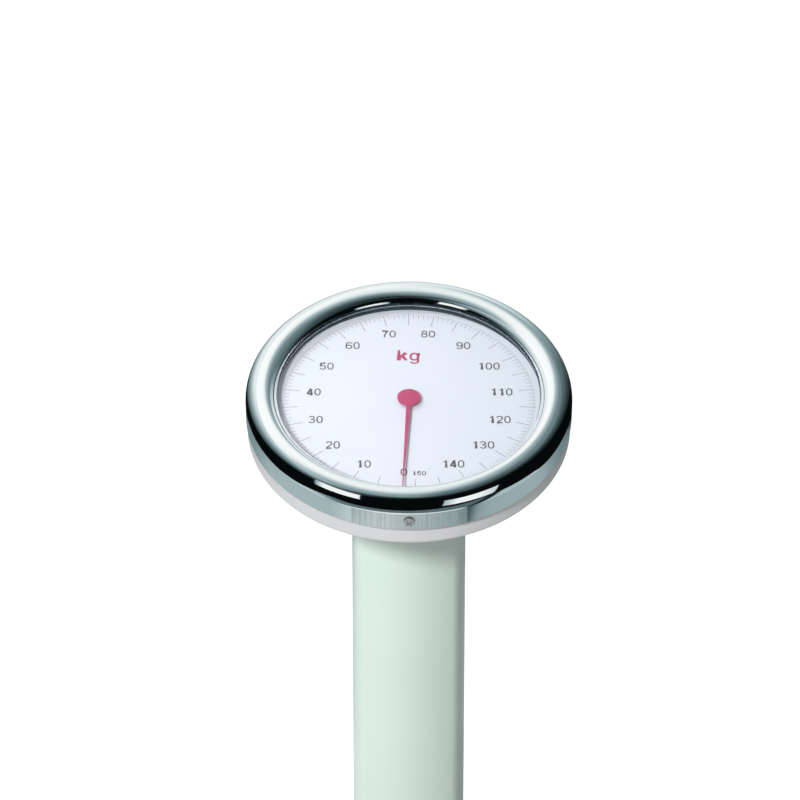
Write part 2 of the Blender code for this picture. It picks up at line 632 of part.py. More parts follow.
def build_link():
    """The loop that hangs on the long lever's beam and carries the short lever's tongue."""
    outer, inner = square_ring(BEAM_HALF_WIDTH + LINK_SIDE_GAP, LINK_WIRE, VEE_LOW - GAP, BEAM_HIGH + GAP)
    loop = loop_prism(outer, inner, LINK_Y - LINK_HALF_DEPTH, LINK_Y + LINK_HALF_DEPTH)
    node("lever_link", loop, STEEL, smooth=False)


def build_platform():
    """The pressed platform and the ribbed mat on it."""
    half_x = PLATFORM_WIDTH / 2
    half_y = (PLATFORM_BACK_Y + HALF_DEPTH) / 2
    centre_y = (PLATFORM_BACK_Y - HALF_DEPTH) / 2
    skirt_low = PLATFORM_TOP - PLATFORM_SHEET - PLATFORM_SKIRT

    def outline(inset):
        return rectangle(half_x - inset, half_y - inset, PLATFORM_CORNER - inset, centre_y)

    inside = outline(PLATFORM_SHEET)
    levels = [(inside, PLATFORM_TOP - PLATFORM_SHEET), (inside, skirt_low), (outline(0), skirt_low),
              (outline(0), PLATFORM_TOP - PLATFORM_EDGE), (outline(PLATFORM_EDGE), PLATFORM_TOP)]
    plate = node("platform_plate", lofted(levels), BASE_PAINT)
    notch_x = BEAM_HALF_WIDTH + BEAM_NOTCH_ROOM
    notch = block((-notch_x, PLATFORM_BACK_Y - PLATFORM_SHEET - OVERRUN, skirt_low - OVERRUN),
                  (notch_x, PLATFORM_BACK_Y + OVERRUN, BEAM_HIGH + BEAM_NOTCH_ROOM))
    cut(plate, tool("beam_notch", notch))
    mat_low = PLATFORM_TOP + GAP
    mat_high = mat_low + MAT_THICKNESS
    groove_z = mat_high - MAT_GROOVE_DEPTH
    mat_half = half_x - MAT_INSET
    ribs = int(2 * mat_half / MAT_RIB_PITCH)
    first = -ribs * MAT_RIB_PITCH / 2
    comb = [(-mat_half, mat_low), (mat_half, mat_low), (mat_half, mat_high)]
    for rib in reversed(range(ribs)):
        centre = first + (rib + 1 / 2) * MAT_RIB_PITCH
        left = centre - MAT_GROOVE / 2
        right = centre + MAT_GROOVE / 2
        comb += [(right, mat_high), (right, groove_z), (left, groove_z), (left, mat_high)]
    comb.append((-mat_half, mat_high))
    node("platform_mat", front_prism(comb, centre_y - half_y + MAT_INSET, centre_y + half_y - MAT_INSET),
         MAT_RUBBER, smooth=False)


def above_head_plane(name, height):
    """A cutter that takes everything over a plane parallel to the dial."""
    reach = HEAD_RADIUS
    return tool(name, block((-reach, -reach, height), (reach, reach, height + 2 * HEAD_RADIUS)), head)


def build_column():
    """The painted tube, its flanged foot and the four bolts through the deck."""
    low = DECK_TOP + GAP
    column = node("column_tube", prism(column_outline, low, DIAL_Z), COLUMN_PAINT)
    cut(column, tool("column_bore", prism(column_bore, low - OVERRUN, DIAL_Z + OVERRUN)),
        above_head_plane("column_top_cut", -HOUSING_DEPTH - GAP))
    wall_y = COLUMN_DEPTH / 2
    hole = disc(ZERO_SHAFT_RADIUS + GAP, wall_y - COLUMN_WALL - OVERRUN, wall_y + OVERRUN, TINY)
    cut(column, tool("zero_hole", along_y(hole, 0, COLUMN_Y, SPRING_TOP_Z)))

    def collar(growth):
        corner = COLUMN_CORNER + growth
        return rectangle(COLUMN_WIDTH / 2 + growth, COLUMN_DEPTH / 2 + growth, corner, COLUMN_Y)

    plate = rectangle(FOOT_PLATE_WIDTH / 2, FOOT_PLATE_DEPTH / 2, FOOT_PLATE_CORNER, COLUMN_Y)
    plate_top = low + FOOT_PLATE_THICKNESS
    collar_top = low + COLLAR_HEIGHT
    outside = collar(GAP + COLLAR_WALL)
    levels = [(plate, low), (plate, plate_top), (outside, plate_top), (outside, collar_top),
              (collar(GAP), collar_top), (collar(GAP), low)]
    foot = node("column_foot", lofted(levels, closed=True), BASE_PAINT)
    bolt = [(BOLT_RADIUS, DECK_LOW - BOLT_PROUD), (BOLT_RADIUS, plate_top + GAP)]
    for number, (x, y) in enumerate(bolt_places, 1):
        shift = Matrix.Translation((x, y, 0))
        hole = disc(BOLT_RADIUS + GAP, low - OVERRUN, plate_top + OVERRUN, TINY)
        cut(foot, tool(f"foot_hole_{number}", placed(hole, shift)))
        shank = node(f"column_bolt_{number}", placed(turned(bolt, TINY), shift), STEEL)
        hexagon = disc(BOLT_HEAD_RADIUS, plate_top + GAP, plate_top + GAP + BOLT_HEAD_HEIGHT, HEX_SIDES)
        join(shank, tool(f"bolt_head_{number}", placed(hexagon, shift)))


def build_draft_rod():
    """The rod with the stirrup under the lever's end, the spring's hook and the crank's pin."""
    stirrup_high = BEAM_HIGH + STIRRUP_ROOM
    outer, inner = square_ring(BEAM_HALF_WIDTH + LINK_SIDE_GAP, LINK_WIRE, BEAM_LOW - GAP, stirrup_high)
    stirrup = loop_prism(outer, inner, ROD_Y - LINK_HALF_DEPTH, ROD_Y + LINK_HALF_DEPTH)
    rod = node("draft_rod", stirrup, STEEL)
    shank = disc(ROD_RADIUS, stirrup_high + LINK_WIRE / 2, ROD_PIN_Z + ROD_TOP_PROUD, TINY)
    join(rod, tool("rod_shank", placed(shank, Matrix.Translation((0, ROD_Y, 0)))))
    hook_end = SPRING_BEHIND + ROD_AHEAD + HOOK_PAST_SPRING
    hook = along_y(disc(HOOK_RADIUS, 0, hook_end, TINY), SPRING_X, ROD_Y, SPRING_BOTTOM_Z)
    join(rod, tool("rod_hook", hook))
    pin_end = CRANK_X + CRANK_THICKNESS + PIN_PAST_CRANK
    join(rod, tool("rod_pin", along_x(disc(PIN_RADIUS, 0, pin_end, TINY), 0, ROD_Y, ROD_PIN_Z)))


def spring_path():
    """Centre line of the spring: an eye, a neck, the coil, a neck and an eye."""
    eye = HOOK_RADIUS + GAP + SPRING_WIRE
    eye_turn = math.radians(270)
    points = []
    for step in range(EYE_STEPS + 1):
        angle = math.radians(210) - eye_turn * step / EYE_STEPS
        points.append((eye * math.cos(angle), 0, SPRING_TOP_Z + eye * math.sin(angle)))
    points.append((0, 0, SPRING_TOP_Z - eye - SPRING_WIRE))
    coil_high = SPRING_TOP_Z - SPRING_NECK
    coil_low = SPRING_BOTTOM_Z + SPRING_NECK
    steps = COIL_STEPS * SPRING_TURNS
    for step in range(steps + 1):
        angle = math.tau * step / COIL_STEPS
        height = coil_high + (coil_low - coil_high) * step / steps
        points.append((SPRING_RADIUS * math.cos(angle), SPRING_RADIUS * math.sin(angle), height))
    points.append((0, 0, SPRING_BOTTOM_Z + eye + SPRING_WIRE))
    for step in range(EYE_STEPS + 1):
        angle = math.radians(60) - eye_turn * step / EYE_STEPS
        points.append((eye * math.cos(angle), 0, SPRING_BOTTOM_Z + eye * math.sin(angle)))
    return points


def build_spring():
    """The main spring, one unbroken wire."""
    curve = bpy.data.curves.new("main_spring", "CURVE")
    curve.dimensions = "3D"
    curve.bevel_depth = SPRING_WIRE
    curve.bevel_resolution = 1
    curve.use_fill_caps = True
    path = spring_path()
    spline = curve.splines.new("POLY")
    spline.points.add(len(path) - 1)
    for point, place in zip(spline.points, path):
        point.co = (*place, 1)
    curve.materials.append(STEEL)
    spring = bpy.data.objects.new("main_spring", curve)
    bpy.context.scene.collection.objects.link(spring)
    spring.location = (SPRING_X, COLUMN_Y + SPRING_BEHIND, 0)


def build_zero_setting():
    """The knob behind the column and its shaft, whose offset pin carries the spring's top eye."""
    inner_wall = COLUMN_DEPTH / 2 - COLUMN_WALL
    knob_low = COLUMN_DEPTH / 2 + GAP
    web_low = SPRING_BEHIND + HOOK_PAST_SPRING
    collar_low = inner_wall - GAP - ZERO_COLLAR_THICKNESS
    profile = [(ZERO_WEB_RADIUS, web_low), (ZERO_WEB_RADIUS, web_low + ZERO_WEB_THICKNESS),
               (ZERO_SHAFT_RADIUS, web_low + ZERO_WEB_THICKNESS), (ZERO_SHAFT_RADIUS, collar_low),
               (ZERO_WEB_RADIUS, collar_low), (ZERO_WEB_RADIUS, inner_wall - GAP),
               (ZERO_SHAFT_RADIUS, inner_wall - GAP), (ZERO_SHAFT_RADIUS, knob_low + KNOB_BORE_DEPTH - GAP)]
    pivot = frame_empty("zero_axis", (0, COLUMN_Y, SPRING_TOP_Z))
    shaft = node("zero_shaft", along_y(turned(profile, COARSE)), STEEL, pivot)
    pin_low = SPRING_BEHIND - HOOK_PAST_SPRING
    pin = along_y(disc(HOOK_RADIUS, pin_low, web_low + ZERO_WEB_THICKNESS / 2, TINY), SPRING_X)
    join(shaft, tool("zero_pin", pin, pivot))

    def fluted(inset):
        points = []
        for step in range(2 * KNOB_FLUTES):
            radius = KNOB_RADIUS - inset - KNOB_FLUTE_DEPTH * (step % 2)
            angle = math.pi * step / KNOB_FLUTES
            points.append((radius * math.cos(angle), radius * math.sin(angle)))
        return points

    knob_high = knob_low + KNOB_LENGTH
    levels = [(fluted(KNOB_CHAMFER), knob_low), (fluted(0), knob_low + KNOB_CHAMFER),
              (fluted(0), knob_high - KNOB_CHAMFER), (fluted(KNOB_CHAMFER), knob_high)]
    knob = node("zero_knob", along_y(lofted(levels)), RUBBER, pivot)
    bore = disc(ZERO_SHAFT_RADIUS + GAP, knob_low - OVERRUN, knob_low + KNOB_BORE_DEPTH, COARSE)
    cut(knob, tool("knob_bore", along_y(bore), pivot))


def build_damper():
    """The air damper: a cup on the column's wall, and a piston clamped to the draft rod."""
    place = Matrix.Translation((DAMPER_X, ROD_Y, 0))
    bore = DAMPER_RADIUS - DAMPER_WALL
    cup = [(DAMPER_RADIUS, DAMPER_LOW), (DAMPER_RADIUS, DAMPER_HIGH), (bore, DAMPER_HIGH),
           (bore, DAMPER_LOW + DAMPER_FLOOR)]
    node("damper_cylinder", placed(turned(cup, COARSE), place), BRASS)
    clamp_high = PISTON_CLAMP_Z + PISTON_CLAMP_HEIGHT
    stem = [(bore - GAP, PISTON_Z), (bore - GAP, PISTON_Z + PISTON_THICKNESS),
            (PISTON_STEM_RADIUS, PISTON_Z + PISTON_THICKNESS), (PISTON_STEM_RADIUS, clamp_high)]
    piston = node("damper_piston", placed(turned(stem, COARSE), place), BRASS)
    tongue = block((ROD_RADIUS + GAP, ROD_Y - PISTON_TONGUE_HALF, PISTON_CLAMP_Z),
                   (DAMPER_X, ROD_Y + PISTON_TONGUE_HALF, clamp_high))
    ring = [(ROD_RADIUS + GAP, PISTON_CLAMP_Z), (PISTON_CLAMP_RADIUS, PISTON_CLAMP_Z),
            (PISTON_CLAMP_RADIUS, clamp_high), (ROD_RADIUS + GAP, clamp_high)]
    join(piston, tool("piston_tongue", tongue),
         tool("piston_clamp", placed(turned(ring, TINY, closed=True), Matrix.Translation((0, ROD_Y, 0)))))


def arc(centre, radius, start, end, steps):
    """Points of (radius, height) round a centre, from one angle to another."""
    angles = [start + (end - start) * step / steps for step in range(steps + 1)]
    return [(centre[0] + radius * math.cos(a), centre[1] + radius * math.sin(a)) for a in angles]


def radial(bm, angle, height):
    """Turn a shape made along Z so that it points outward from the head's axis."""
    turn = Matrix.Rotation(angle, 4, "Z") @ Matrix.Rotation(math.radians(90), 4, "Y")
    return placed(bm, Matrix.Translation((0, 0, height)) @ turn)


def screw_holes(piece, label, radius):
    for number, angle in enumerate(BEZEL_SCREW_ANGLES, 1):
        hole = disc(radius, HEAD_RADIUS - BEZEL_SCREW_LENGTH - OVERRUN, HEAD_RADIUS + OVERRUN, TINY)
        cut(piece, tool(f"{label}_hole_{number}", radial(hole, angle, -BEZEL_SCREW_DEPTH), head))


def build_bezel():
    """The ring: a half-round crown that rolls over into a straight skirt."""
    centre = (CROWN_CENTRE, CROWN_BASE)
    outside = [(HEAD_RADIUS, SKIRT_LOW)] + arc(centre, CROWN_RADIUS, 0, math.pi, CROWN_STEPS)
    inside = arc(centre, CROWN_RADIUS - BEZEL_WALL, math.pi, 0, CROWN_STEPS)
    inside.append((HEAD_RADIUS - BEZEL_WALL, SKIRT_LOW))
    bezel = node("bezel_ring", turned(outside + inside, FINE, closed=True), CHROME, head)
    screw_holes(bezel, "bezel", BEZEL_SCREW_RADIUS + GAP)
    head_low = HEAD_RADIUS + GAP
    bottom = HEAD_RADIUS - BEZEL_SCREW_LENGTH
    dome = BEZEL_SCREW_HEAD_HEIGHT
    rim = BEZEL_SCREW_HEAD
    profile = [(BEZEL_SCREW_RADIUS, bottom), (BEZEL_SCREW_RADIUS, head_low), (rim, head_low),
               (rim, head_low + dome / 3), (rim - dome / 3, head_low + dome * 3 / 4), (rim - dome, head_low + dome)]
    for number, angle in enumerate(BEZEL_SCREW_ANGLES, 1):
        shape = radial(turned(profile, TINY), angle, -BEZEL_SCREW_DEPTH)
        screw = node(f"bezel_screw_{number}", shape, STEEL, head)
        for turn in (0, 1):
            half = (BEZEL_SCREW_SLOT_LENGTH / 2, BEZEL_SCREW_SLOT / 2)
            low = (-half[turn], -half[1 - turn], head_low + dome - BEZEL_SCREW_SLOT_DEPTH)
            high = (half[turn], half[1 - turn], head_low + dome + OVERRUN)
            slot = radial(block(low, high), angle, -BEZEL_SCREW_DEPTH)
            cut(screw, tool(f"recess_{number}_{turn}", slot, head))


def build_window():
    """The glass, its seal, the spacer that sets it off the dial, and the dial plate."""
    node("window_glass", disc(GLASS_RADIUS, GLASS_LOW, GLASS_TOP, FINE), GLASS, head)
    seal_in = GLASS_RADIUS + GAP
    seal_out = seal_in + SEAL_WIDTH
    seal_low = GLASS_LOW - SEAL_BELOW_GLASS
    seal_high = GLASS_TOP + SEAL_ABOVE_GLASS
    seal = [(seal_in, seal_low), (seal_out, seal_low), (seal_out, seal_high), (seal_in, seal_high)]
    node("window_seal", turned(seal, FINE, closed=True), RUBBER, head)
    lip = WINDOW_RADIUS + SPACER_LIP
    spacer = [(WINDOW_RADIUS, GAP), (seal_out, GAP), (seal_out, seal_low - GAP), (lip, seal_low - GAP),
              (lip, GLASS_LOW - GAP), (WINDOW_RADIUS, GLASS_LOW - GAP)]
    node("dial_spacer", turned(spacer, FINE, closed=True), SATIN, head)
    plate = [(DIAL_HOLE_RADIUS, -DIAL_THICKNESS), (DIAL_RADIUS, -DIAL_THICKNESS), (DIAL_RADIUS, 0),
             (DIAL_HOLE_RADIUS, 0)]
    node("dial_plate", turned(plate, FINE, closed=True), DIAL_FACE, head)


def bracket_prism(growth, low, high):
    """The upright block that fills the column's bore, grown or shrunk all round."""
    half_x = COLUMN_WIDTH / 2 - COLUMN_WALL - GAP + growth
    half_y = COLUMN_DEPTH / 2 - COLUMN_WALL - GAP + growth
    corner = COLUMN_CORNER - COLUMN_WALL - GAP + growth
    return prism(rectangle(half_x, half_y, corner, COLUMN_Y), low, high)


def build_housing():
    """The pan under the dial: a ledge for the plate, a flared lip and a shallow cone down to the column."""
    wall = HOUSING_WALL
    centre = (ROLL_RADIUS, -HOUSING_LIP_DEPTH)
    roll = arc(centre, HOUSING_TURN, math.radians(-75), 0, ROLL_STEPS)
    inner_roll = arc(centre, HOUSING_TURN - wall, 0, math.radians(-75), ROLL_STEPS)
    outside = [(HOUSING_FLAT_RADIUS, -HOUSING_DEPTH)] + roll + [
        (HOUSING_WAIST_RADIUS, -HOUSING_NECK_DEPTH), (HOUSING_TOP_RADIUS, -HOUSING_WAIST_DEPTH),
        (HOUSING_TOP_RADIUS, HOUSING_TOP), (HOUSING_LEDGE_RADIUS, HOUSING_TOP)]
    inside = [(HOUSING_LEDGE_RADIUS, HOUSING_TOP - wall), (HOUSING_TOP_RADIUS - wall, HOUSING_TOP - wall),
              (HOUSING_TOP_RADIUS - wall, -HOUSING_WAIST_DEPTH),
              (HOUSING_WAIST_RADIUS - wall, -HOUSING_NECK_DEPTH)]
    inside += inner_roll + [(HOUSING_FLAT_RADIUS, -HOUSING_DEPTH + wall)]
    housing = node("head_housing", turned(outside + inside, FINE), WHITE_PAINT, head)
    cut(housing, tool("housing_port", bracket_prism(GAP, CRANK_Z - CRANK_ARM, DIAL_Z - CRANK_BELOW / 2)))
    screw_holes(housing, "housing", BEZEL_SCREW_RADIUS + GAP)


def build_bracket():
    """A socket that plugs into the column's top, with a tilted round flange inside the housing."""
    flange_low = -HOUSING_DEPTH + HOUSING_WALL + GAP
    flange_high = flange_low + FLANGE_THICKNESS
    bracket = node("head_bracket", bracket_prism(0, BRACKET_FOOT_Z, DIAL_Z), STEEL)
    cut(bracket, above_head_plane("bracket_top_cut", (flange_low + flange_high) / 2))
    join(bracket, tool("bracket_flange", disc(FLANGE_RADIUS, flange_low, flange_high, 2 * COARSE), head))
    cut(bracket, tool("bracket_bore", bracket_prism(-BRACKET_WALL, BRACKET_FOOT_Z - OVERRUN, DIAL_Z)))
    hole = disc(CRANK_PIN_RADIUS + GAP, -COLUMN_WIDTH / 2, COLUMN_WIDTH / 2, TINY)
    cut(bracket, tool("crank_hole", along_x(hole, 0, CRANK_Y, CRANK_Z)))


def pinion_outline():
    """Involute teeth, with a gap facing +X where the rack's tooth stands at rest."""
    base = PITCH_RADIUS * math.cos(PRESSURE_ANGLE)
    pitch_half = math.pi / (2 * PINION_TEETH) - BACKLASH / PITCH_RADIUS

    def half_angle(radius):
        slope = math.acos(min(1.0, base / radius))
        return pitch_half + math.tan(PRESSURE_ANGLE) - PRESSURE_ANGLE - (math.tan(slope) - slope)

    radii = [(PITCH_RADIUS - PINION_ROOT, base), (base, base), (PITCH_RADIUS, PITCH_RADIUS),
             (PITCH_RADIUS + PINION_ADDENDUM, PITCH_RADIUS + PINION_ADDENDUM)]
    points = []
    for tooth in range(PINION_TEETH):
        middle = math.tau * (tooth + 1 / 2) / PINION_TEETH
        for side, flank in ((-1, radii), (1, radii[::-1])):
            for radius, taken_at in flank:
                angle = middle + side * half_angle(taken_at)
                points.append((radius * math.cos(angle), radius * math.sin(angle)))
    return points


def rack_outline():
    """Straight-sided teeth facing -X, centred on multiples of the tooth pitch."""
    pitch = math.pi * MODULE
    slope = math.tan(PRESSURE_ANGLE)
    half = pitch / 4 - BACKLASH
    root_x = PITCH_RADIUS + RACK_DEDENDUM
    tip_x = PITCH_RADIUS - RACK_ADDENDUM
    points = [(RACK_BACK, -RACK_TAIL), (RACK_BACK, RACK_NOSE), (root_x, RACK_NOSE)]
    last = math.ceil(TRAVEL / pitch) + 2
    for tooth in reversed(range(-2, last)):
        centre = tooth * pitch
        root_half = half + RACK_DEDENDUM * slope
        tip_half = half - RACK_ADDENDUM * slope
        points += [(root_x, centre + root_half), (tip_x, centre + tip_half),
                   (tip_x, centre - tip_half), (root_x, centre - root_half)]
    points.append((root_x, -RACK_TAIL))
    return points


def build_movement():
    """Two plates with bushes, the pinion on its shaft, the rack and its guide."""
    leg_low = -HOUSING_DEPTH + HOUSING_WALL + FLANGE_THICKNESS + 2 * GAP
    outer = PLATE_HALF_WIDTH
    inner = PLATE_HALF_WIDTH - PLATE_LEG
    table = [(-outer, leg_low), (-inner, leg_low), (-inner, PLATE_LOW), (inner, PLATE_LOW),
             (inner, leg_low), (outer, leg_low), (outer, PLATE_HIGH), (-outer, PLATE_HIGH)]
    shape = front_prism(table, -PLATE_HALF_DEPTH, PLATE_HALF_DEPTH)
    plate = node("movement_plate", shape, BRASS, head, smooth=False)
    slot = block((CRANK_X - PLATE_SLOT_SIDE, PLATE_SLOT_LOW_Y, PLATE_LOW - OVERRUN),
                 (CRANK_X + CRANK_THICKNESS + PLATE_SLOT_SIDE, PLATE_SLOT_HIGH_Y, PLATE_HIGH + OVERRUN))
    cut(plate, tool("crank_slot", slot, head),
        tool("lower_bush_hole", disc(BUSH_RADIUS + GAP, PLATE_LOW - OVERRUN, PLATE_HIGH + OVERRUN), head))
    pillar_end = BRIDGE_PILLAR_X + BRIDGE_PILLAR
    arch = [(BRIDGE_PILLAR_X, PLATE_HIGH + GAP), (pillar_end, PLATE_HIGH + GAP), (pillar_end, BRIDGE_LOW),
            (BRIDGE_NOSE_X, BRIDGE_LOW), (BRIDGE_NOSE_X, BRIDGE_HIGH), (BRIDGE_PILLAR_X, BRIDGE_HIGH)]
    shape = front_prism(arch, -BRIDGE_HALF_DEPTH, BRIDGE_HALF_DEPTH)
    upper = node("movement_bridge", shape, BRASS, head, smooth=False)
    hole = disc(BUSH_RADIUS + GAP, BRIDGE_LOW - OVERRUN / 2, BRIDGE_HIGH + OVERRUN)
    cut(upper, tool("upper_bush_hole", hole, head))
    for name, high in (("shaft_bush_lower", PLATE_HIGH), ("shaft_bush_upper", BRIDGE_HIGH)):
        low = high - BUSH_HEIGHT
        bore = SHAFT_RADIUS + GAP
        ring = [(bore, low), (BUSH_RADIUS, low), (BUSH_RADIUS, high), (bore, high)]
        node(name, turned(ring, COARSE, closed=True), STEEL, head)
    pinion = node("pinion_shaft", prism(pinion_outline(), PINION_LOW, PINION_HIGH), BRASS, head)
    join(pinion, tool("pinion_arbor", disc(SHAFT_RADIUS, SHAFT_LOW, SHAFT_HIGH, TINY), head))
    rack = node("rack", prism(rack_outline(), RACK_LOW, RACK_HIGH), BRASS, head, smooth=False)
    pin_end = CRANK_X + CRANK_THICKNESS + PIN_PAST_CRANK
    pin = along_x(disc(PIN_RADIUS, RACK_BACK - PIN_RADIUS, pin_end, TINY), 0, RACK_PIN_Y, RACK_PIN_H)
    join(rack, tool("rack_pin", pin, head))
    tip_x = PITCH_RADIUS - RACK_ADDENDUM
    bed_low = PLATE_HIGH + GAP
    bed = block((tip_x, GUIDE_FRONT_Y, bed_low), (RACK_BACK + GUIDE_WALL, GUIDE_BACK_Y, bed_low + GUIDE_BED))
    guide = node("rack_guide", bed, STEEL, head, smooth=False)
    for name, low_y in (("front", GUIDE_FRONT_Y), ("back", GUIDE_BACK_Y - GUIDE_BLOCK)):
        shell = block((tip_x - GAP - GUIDE_WALL, low_y, bed_low + GUIDE_BED / 2),
                      (RACK_BACK + GAP + GUIDE_WALL, low_y + GUIDE_BLOCK, RACK_HIGH + GAP + GUIDE_WALL))
        join(guide, tool(f"guide_block_{name}", shell, head))
    channel = block((tip_x - GAP, GUIDE_FRONT_Y - OVERRUN, RACK_LOW - GAP),
                    (RACK_BACK + GAP, GUIDE_BACK_Y + OVERRUN, RACK_HIGH + GAP))
    cut(guide, tool("guide_channel", channel, head))


def crank_arm(name, pivot, along):
    """One slotted arm: returns the bar to join on and the slot to cut, both along a direction in YZ."""
    pin_far = CRANK_ARM / math.cos(CRANK_SWING)
    slot_half = PIN_RADIUS + GAP
    turn = Matrix.Rotation(along, 4, "X")
    low_x = CRANK_X
    high_x = CRANK_X + CRANK_THICKNESS
    end = pin_far + slot_half
    bar = block((low_x, 0, -CRANK_ARM_WIDTH / 2), (high_x, end + CRANK_ARM_END, CRANK_ARM_WIDTH / 2))
    slot = block((low_x - OVERRUN, CRANK_ARM - slot_half, -slot_half), (high_x + OVERRUN, end, slot_half))
    return tool(f"{name}_arm", placed(bar, turn), pivot), tool(f"{name}_slot", placed(slot, turn), pivot)


def build_crank():
    """The bell crank that turns the rod's pull into the rack's slide, on its cross pin."""
    pivot = frame_empty("crank_axis", (0, CRANK_Y, CRANK_Z))
    middle = CRANK_X + CRANK_THICKNESS / 2
    hub = disc(CRANK_HUB_RADIUS, middle - CRANK_HUB_HALF, middle + CRANK_HUB_HALF)
    crank = node("bell_crank", along_x(hub), STEEL, pivot)
    rod_side, rod_slot = crank_arm("rod", pivot, math.pi - CRANK_SWING)
    rack_side, rack_slot = crank_arm("rack", pivot, math.pi / 2 + TILT - CRANK_SWING)
    join(crank, rod_side, rack_side)
    reach = CRANK_HUB_HALF + OVERRUN
    bore = disc(CRANK_PIN_RADIUS + GAP, middle - reach, middle + reach)
    cut(crank, rod_slot, rack_slot, tool("crank_bore", along_x(bore), pivot))
    half_pin = COLUMN_WIDTH / 2 - COLUMN_WALL - 2 * GAP
    node("crank_pin", along_x(disc(CRANK_PIN_RADIUS, -half_pin, half_pin, TINY)), STEEL, pivot)


def build_pointer():
    """The crimson pointer, on the end of the pinion's shaft."""
    turn = Matrix.Rotation(-ZERO_ANGLE, 4, "Z")
    axis = frame_empty("pointer_axis", (0, 0, 0))
    axis.parent = head
    pointer = node("pointer", disc(POINTER_HUB_RADIUS, POINTER_LOW, POINTER_HIGH, 2 * COARSE), RED, axis)
    outline = [(-POINTER_ROOT_WIDTH / 2, 0), (-POINTER_TIP_WIDTH / 2, -POINTER_LENGTH),
               (POINTER_TIP_WIDTH / 2, -POINTER_LENGTH), (POINTER_ROOT_WIDTH / 2, 0)]
    arm_low = (POINTER_LOW + POINTER_HIGH - POINTER_ARM_THICKNESS) / 2
    arm = prism(outline, arm_low, arm_low + POINTER_ARM_THICKNESS)
    join(pointer, tool("pointer_arm", placed(arm, turn), axis))
    bore = disc(SHAFT_RADIUS + GAP, POINTER_LOW - OVERRUN / 2, POINTER_HIGH - POINTER_CAP, TINY)
    cut(pointer, tool("pointer_bore", bore, axis))


build_base()
build_feet()
build_long_lever()
build_short_lever()
build_seats()
build_link()
build_platform()
build_column()
build_draft_rod()
build_spring()
build_zero_setting()
build_damper()
build_bezel()
build_window()
build_housing()
build_bracket()
build_movement()
build_crank()
build_pointer()

print("travel of rod and rack", TRAVEL, "platform", PLATFORM_TRAVEL, "link", LINK_TRAVEL)
print("lever swing", LEVER_SWING, "crank swing each way", CRANK_SWING, "column axis", COLUMN_Y)
print("crank pivot", CRANK_Y, CRANK_Z, "rod", ROD_Y, "rod pin", ROD_PIN_Z)
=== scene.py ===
# %% [markdown]
# # A column scale, dressed
#
# The object is a mechanical weighing scale: a round dial head with a polished rim, leaning
# toward the person on the platform, on a painted column over a cast base. The solids and the
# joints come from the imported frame. The sizes written here are those of the solids, or were
# measured in the photograph. This lesson gives each visible surface its finish, and replaces the
# coarse solids that show with finer ones.

# %% Load the frame
import json
import math

import bmesh
import bpy
from mathutils import Matrix, Vector

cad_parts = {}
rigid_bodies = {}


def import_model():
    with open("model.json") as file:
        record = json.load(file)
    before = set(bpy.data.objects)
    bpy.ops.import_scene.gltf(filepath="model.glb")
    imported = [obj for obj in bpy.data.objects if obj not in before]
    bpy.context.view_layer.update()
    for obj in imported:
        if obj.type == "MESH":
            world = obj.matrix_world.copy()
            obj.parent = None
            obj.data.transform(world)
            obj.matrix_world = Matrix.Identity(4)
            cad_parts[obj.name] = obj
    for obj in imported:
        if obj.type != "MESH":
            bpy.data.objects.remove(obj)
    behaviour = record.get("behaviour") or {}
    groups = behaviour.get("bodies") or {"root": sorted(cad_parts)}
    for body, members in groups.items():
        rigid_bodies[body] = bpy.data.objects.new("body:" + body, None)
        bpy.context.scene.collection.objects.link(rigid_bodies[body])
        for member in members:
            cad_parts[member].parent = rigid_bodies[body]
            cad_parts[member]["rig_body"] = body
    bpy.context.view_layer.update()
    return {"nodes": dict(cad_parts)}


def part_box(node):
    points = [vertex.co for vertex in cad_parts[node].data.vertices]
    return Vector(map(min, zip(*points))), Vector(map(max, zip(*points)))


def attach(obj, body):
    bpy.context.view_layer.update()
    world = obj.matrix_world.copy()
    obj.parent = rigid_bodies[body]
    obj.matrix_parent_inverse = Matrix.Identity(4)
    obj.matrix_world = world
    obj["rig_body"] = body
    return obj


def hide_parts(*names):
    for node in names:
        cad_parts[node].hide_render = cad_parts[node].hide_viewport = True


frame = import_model()
nodes = frame["nodes"]

# %% [markdown]
# The dial lies 20 degrees off level, tipped to the front about a line through its middle. Nearly
# everything in the head is round about the dial's own axis, so it is simplest to model it level,
# with the dial's face at height zero, and to tip it with one matrix at the end. The column's
# middle is read from its solid.

# %% The head's own frame
TILT = math.radians(20)
DIAL_HEIGHT = 0.905
column_low, column_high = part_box("column_tube")
COLUMN_Y = (column_low.y + column_high.y) / 2
HEAD = Matrix.Translation((0, COLUMN_Y, DIAL_HEIGHT)) @ Matrix.Rotation(TILT, 4, "X")
print("column axis at y", round(COLUMN_Y, 5))

# %% [markdown]
# Most pieces of the head are round, so they are modelled as if on a lathe. A lathe is a spin: a
# few points of (radius, height) swept once round. The helper closes the loop when the profile is
# closed, and `finish_piece` turns any bmesh into a piece that rides on its body and hides the
# solid that it stands for.

# %% Helpers for turned pieces
SHARP_ANGLE = math.radians(35)


def turned(profile, steps, closed=True):
    """Spin a profile of (radius, height) points once about Z."""
    bm = bmesh.new()
    verts = [bm.verts.new((radius, 0, height)) for radius, height in profile]
    edges = [bm.edges.new(pair) for pair in zip(verts, verts[1:])]
    if closed:
        edges.append(bm.edges.new((verts[-1], verts[0])))
    bmesh.ops.spin(bm, geom=verts + edges, cent=(0, 0, 0), axis=(0, 0, 1), angle=math.tau,
                   steps=steps, use_merge=True)
    bmesh.ops.remove_doubles(bm, verts=bm.verts, dist=1e-7)
    bmesh.ops.holes_fill(bm, edges=bm.edges, sides=0)
    bmesh.ops.recalc_face_normals(bm, faces=bm.faces)
    return bm


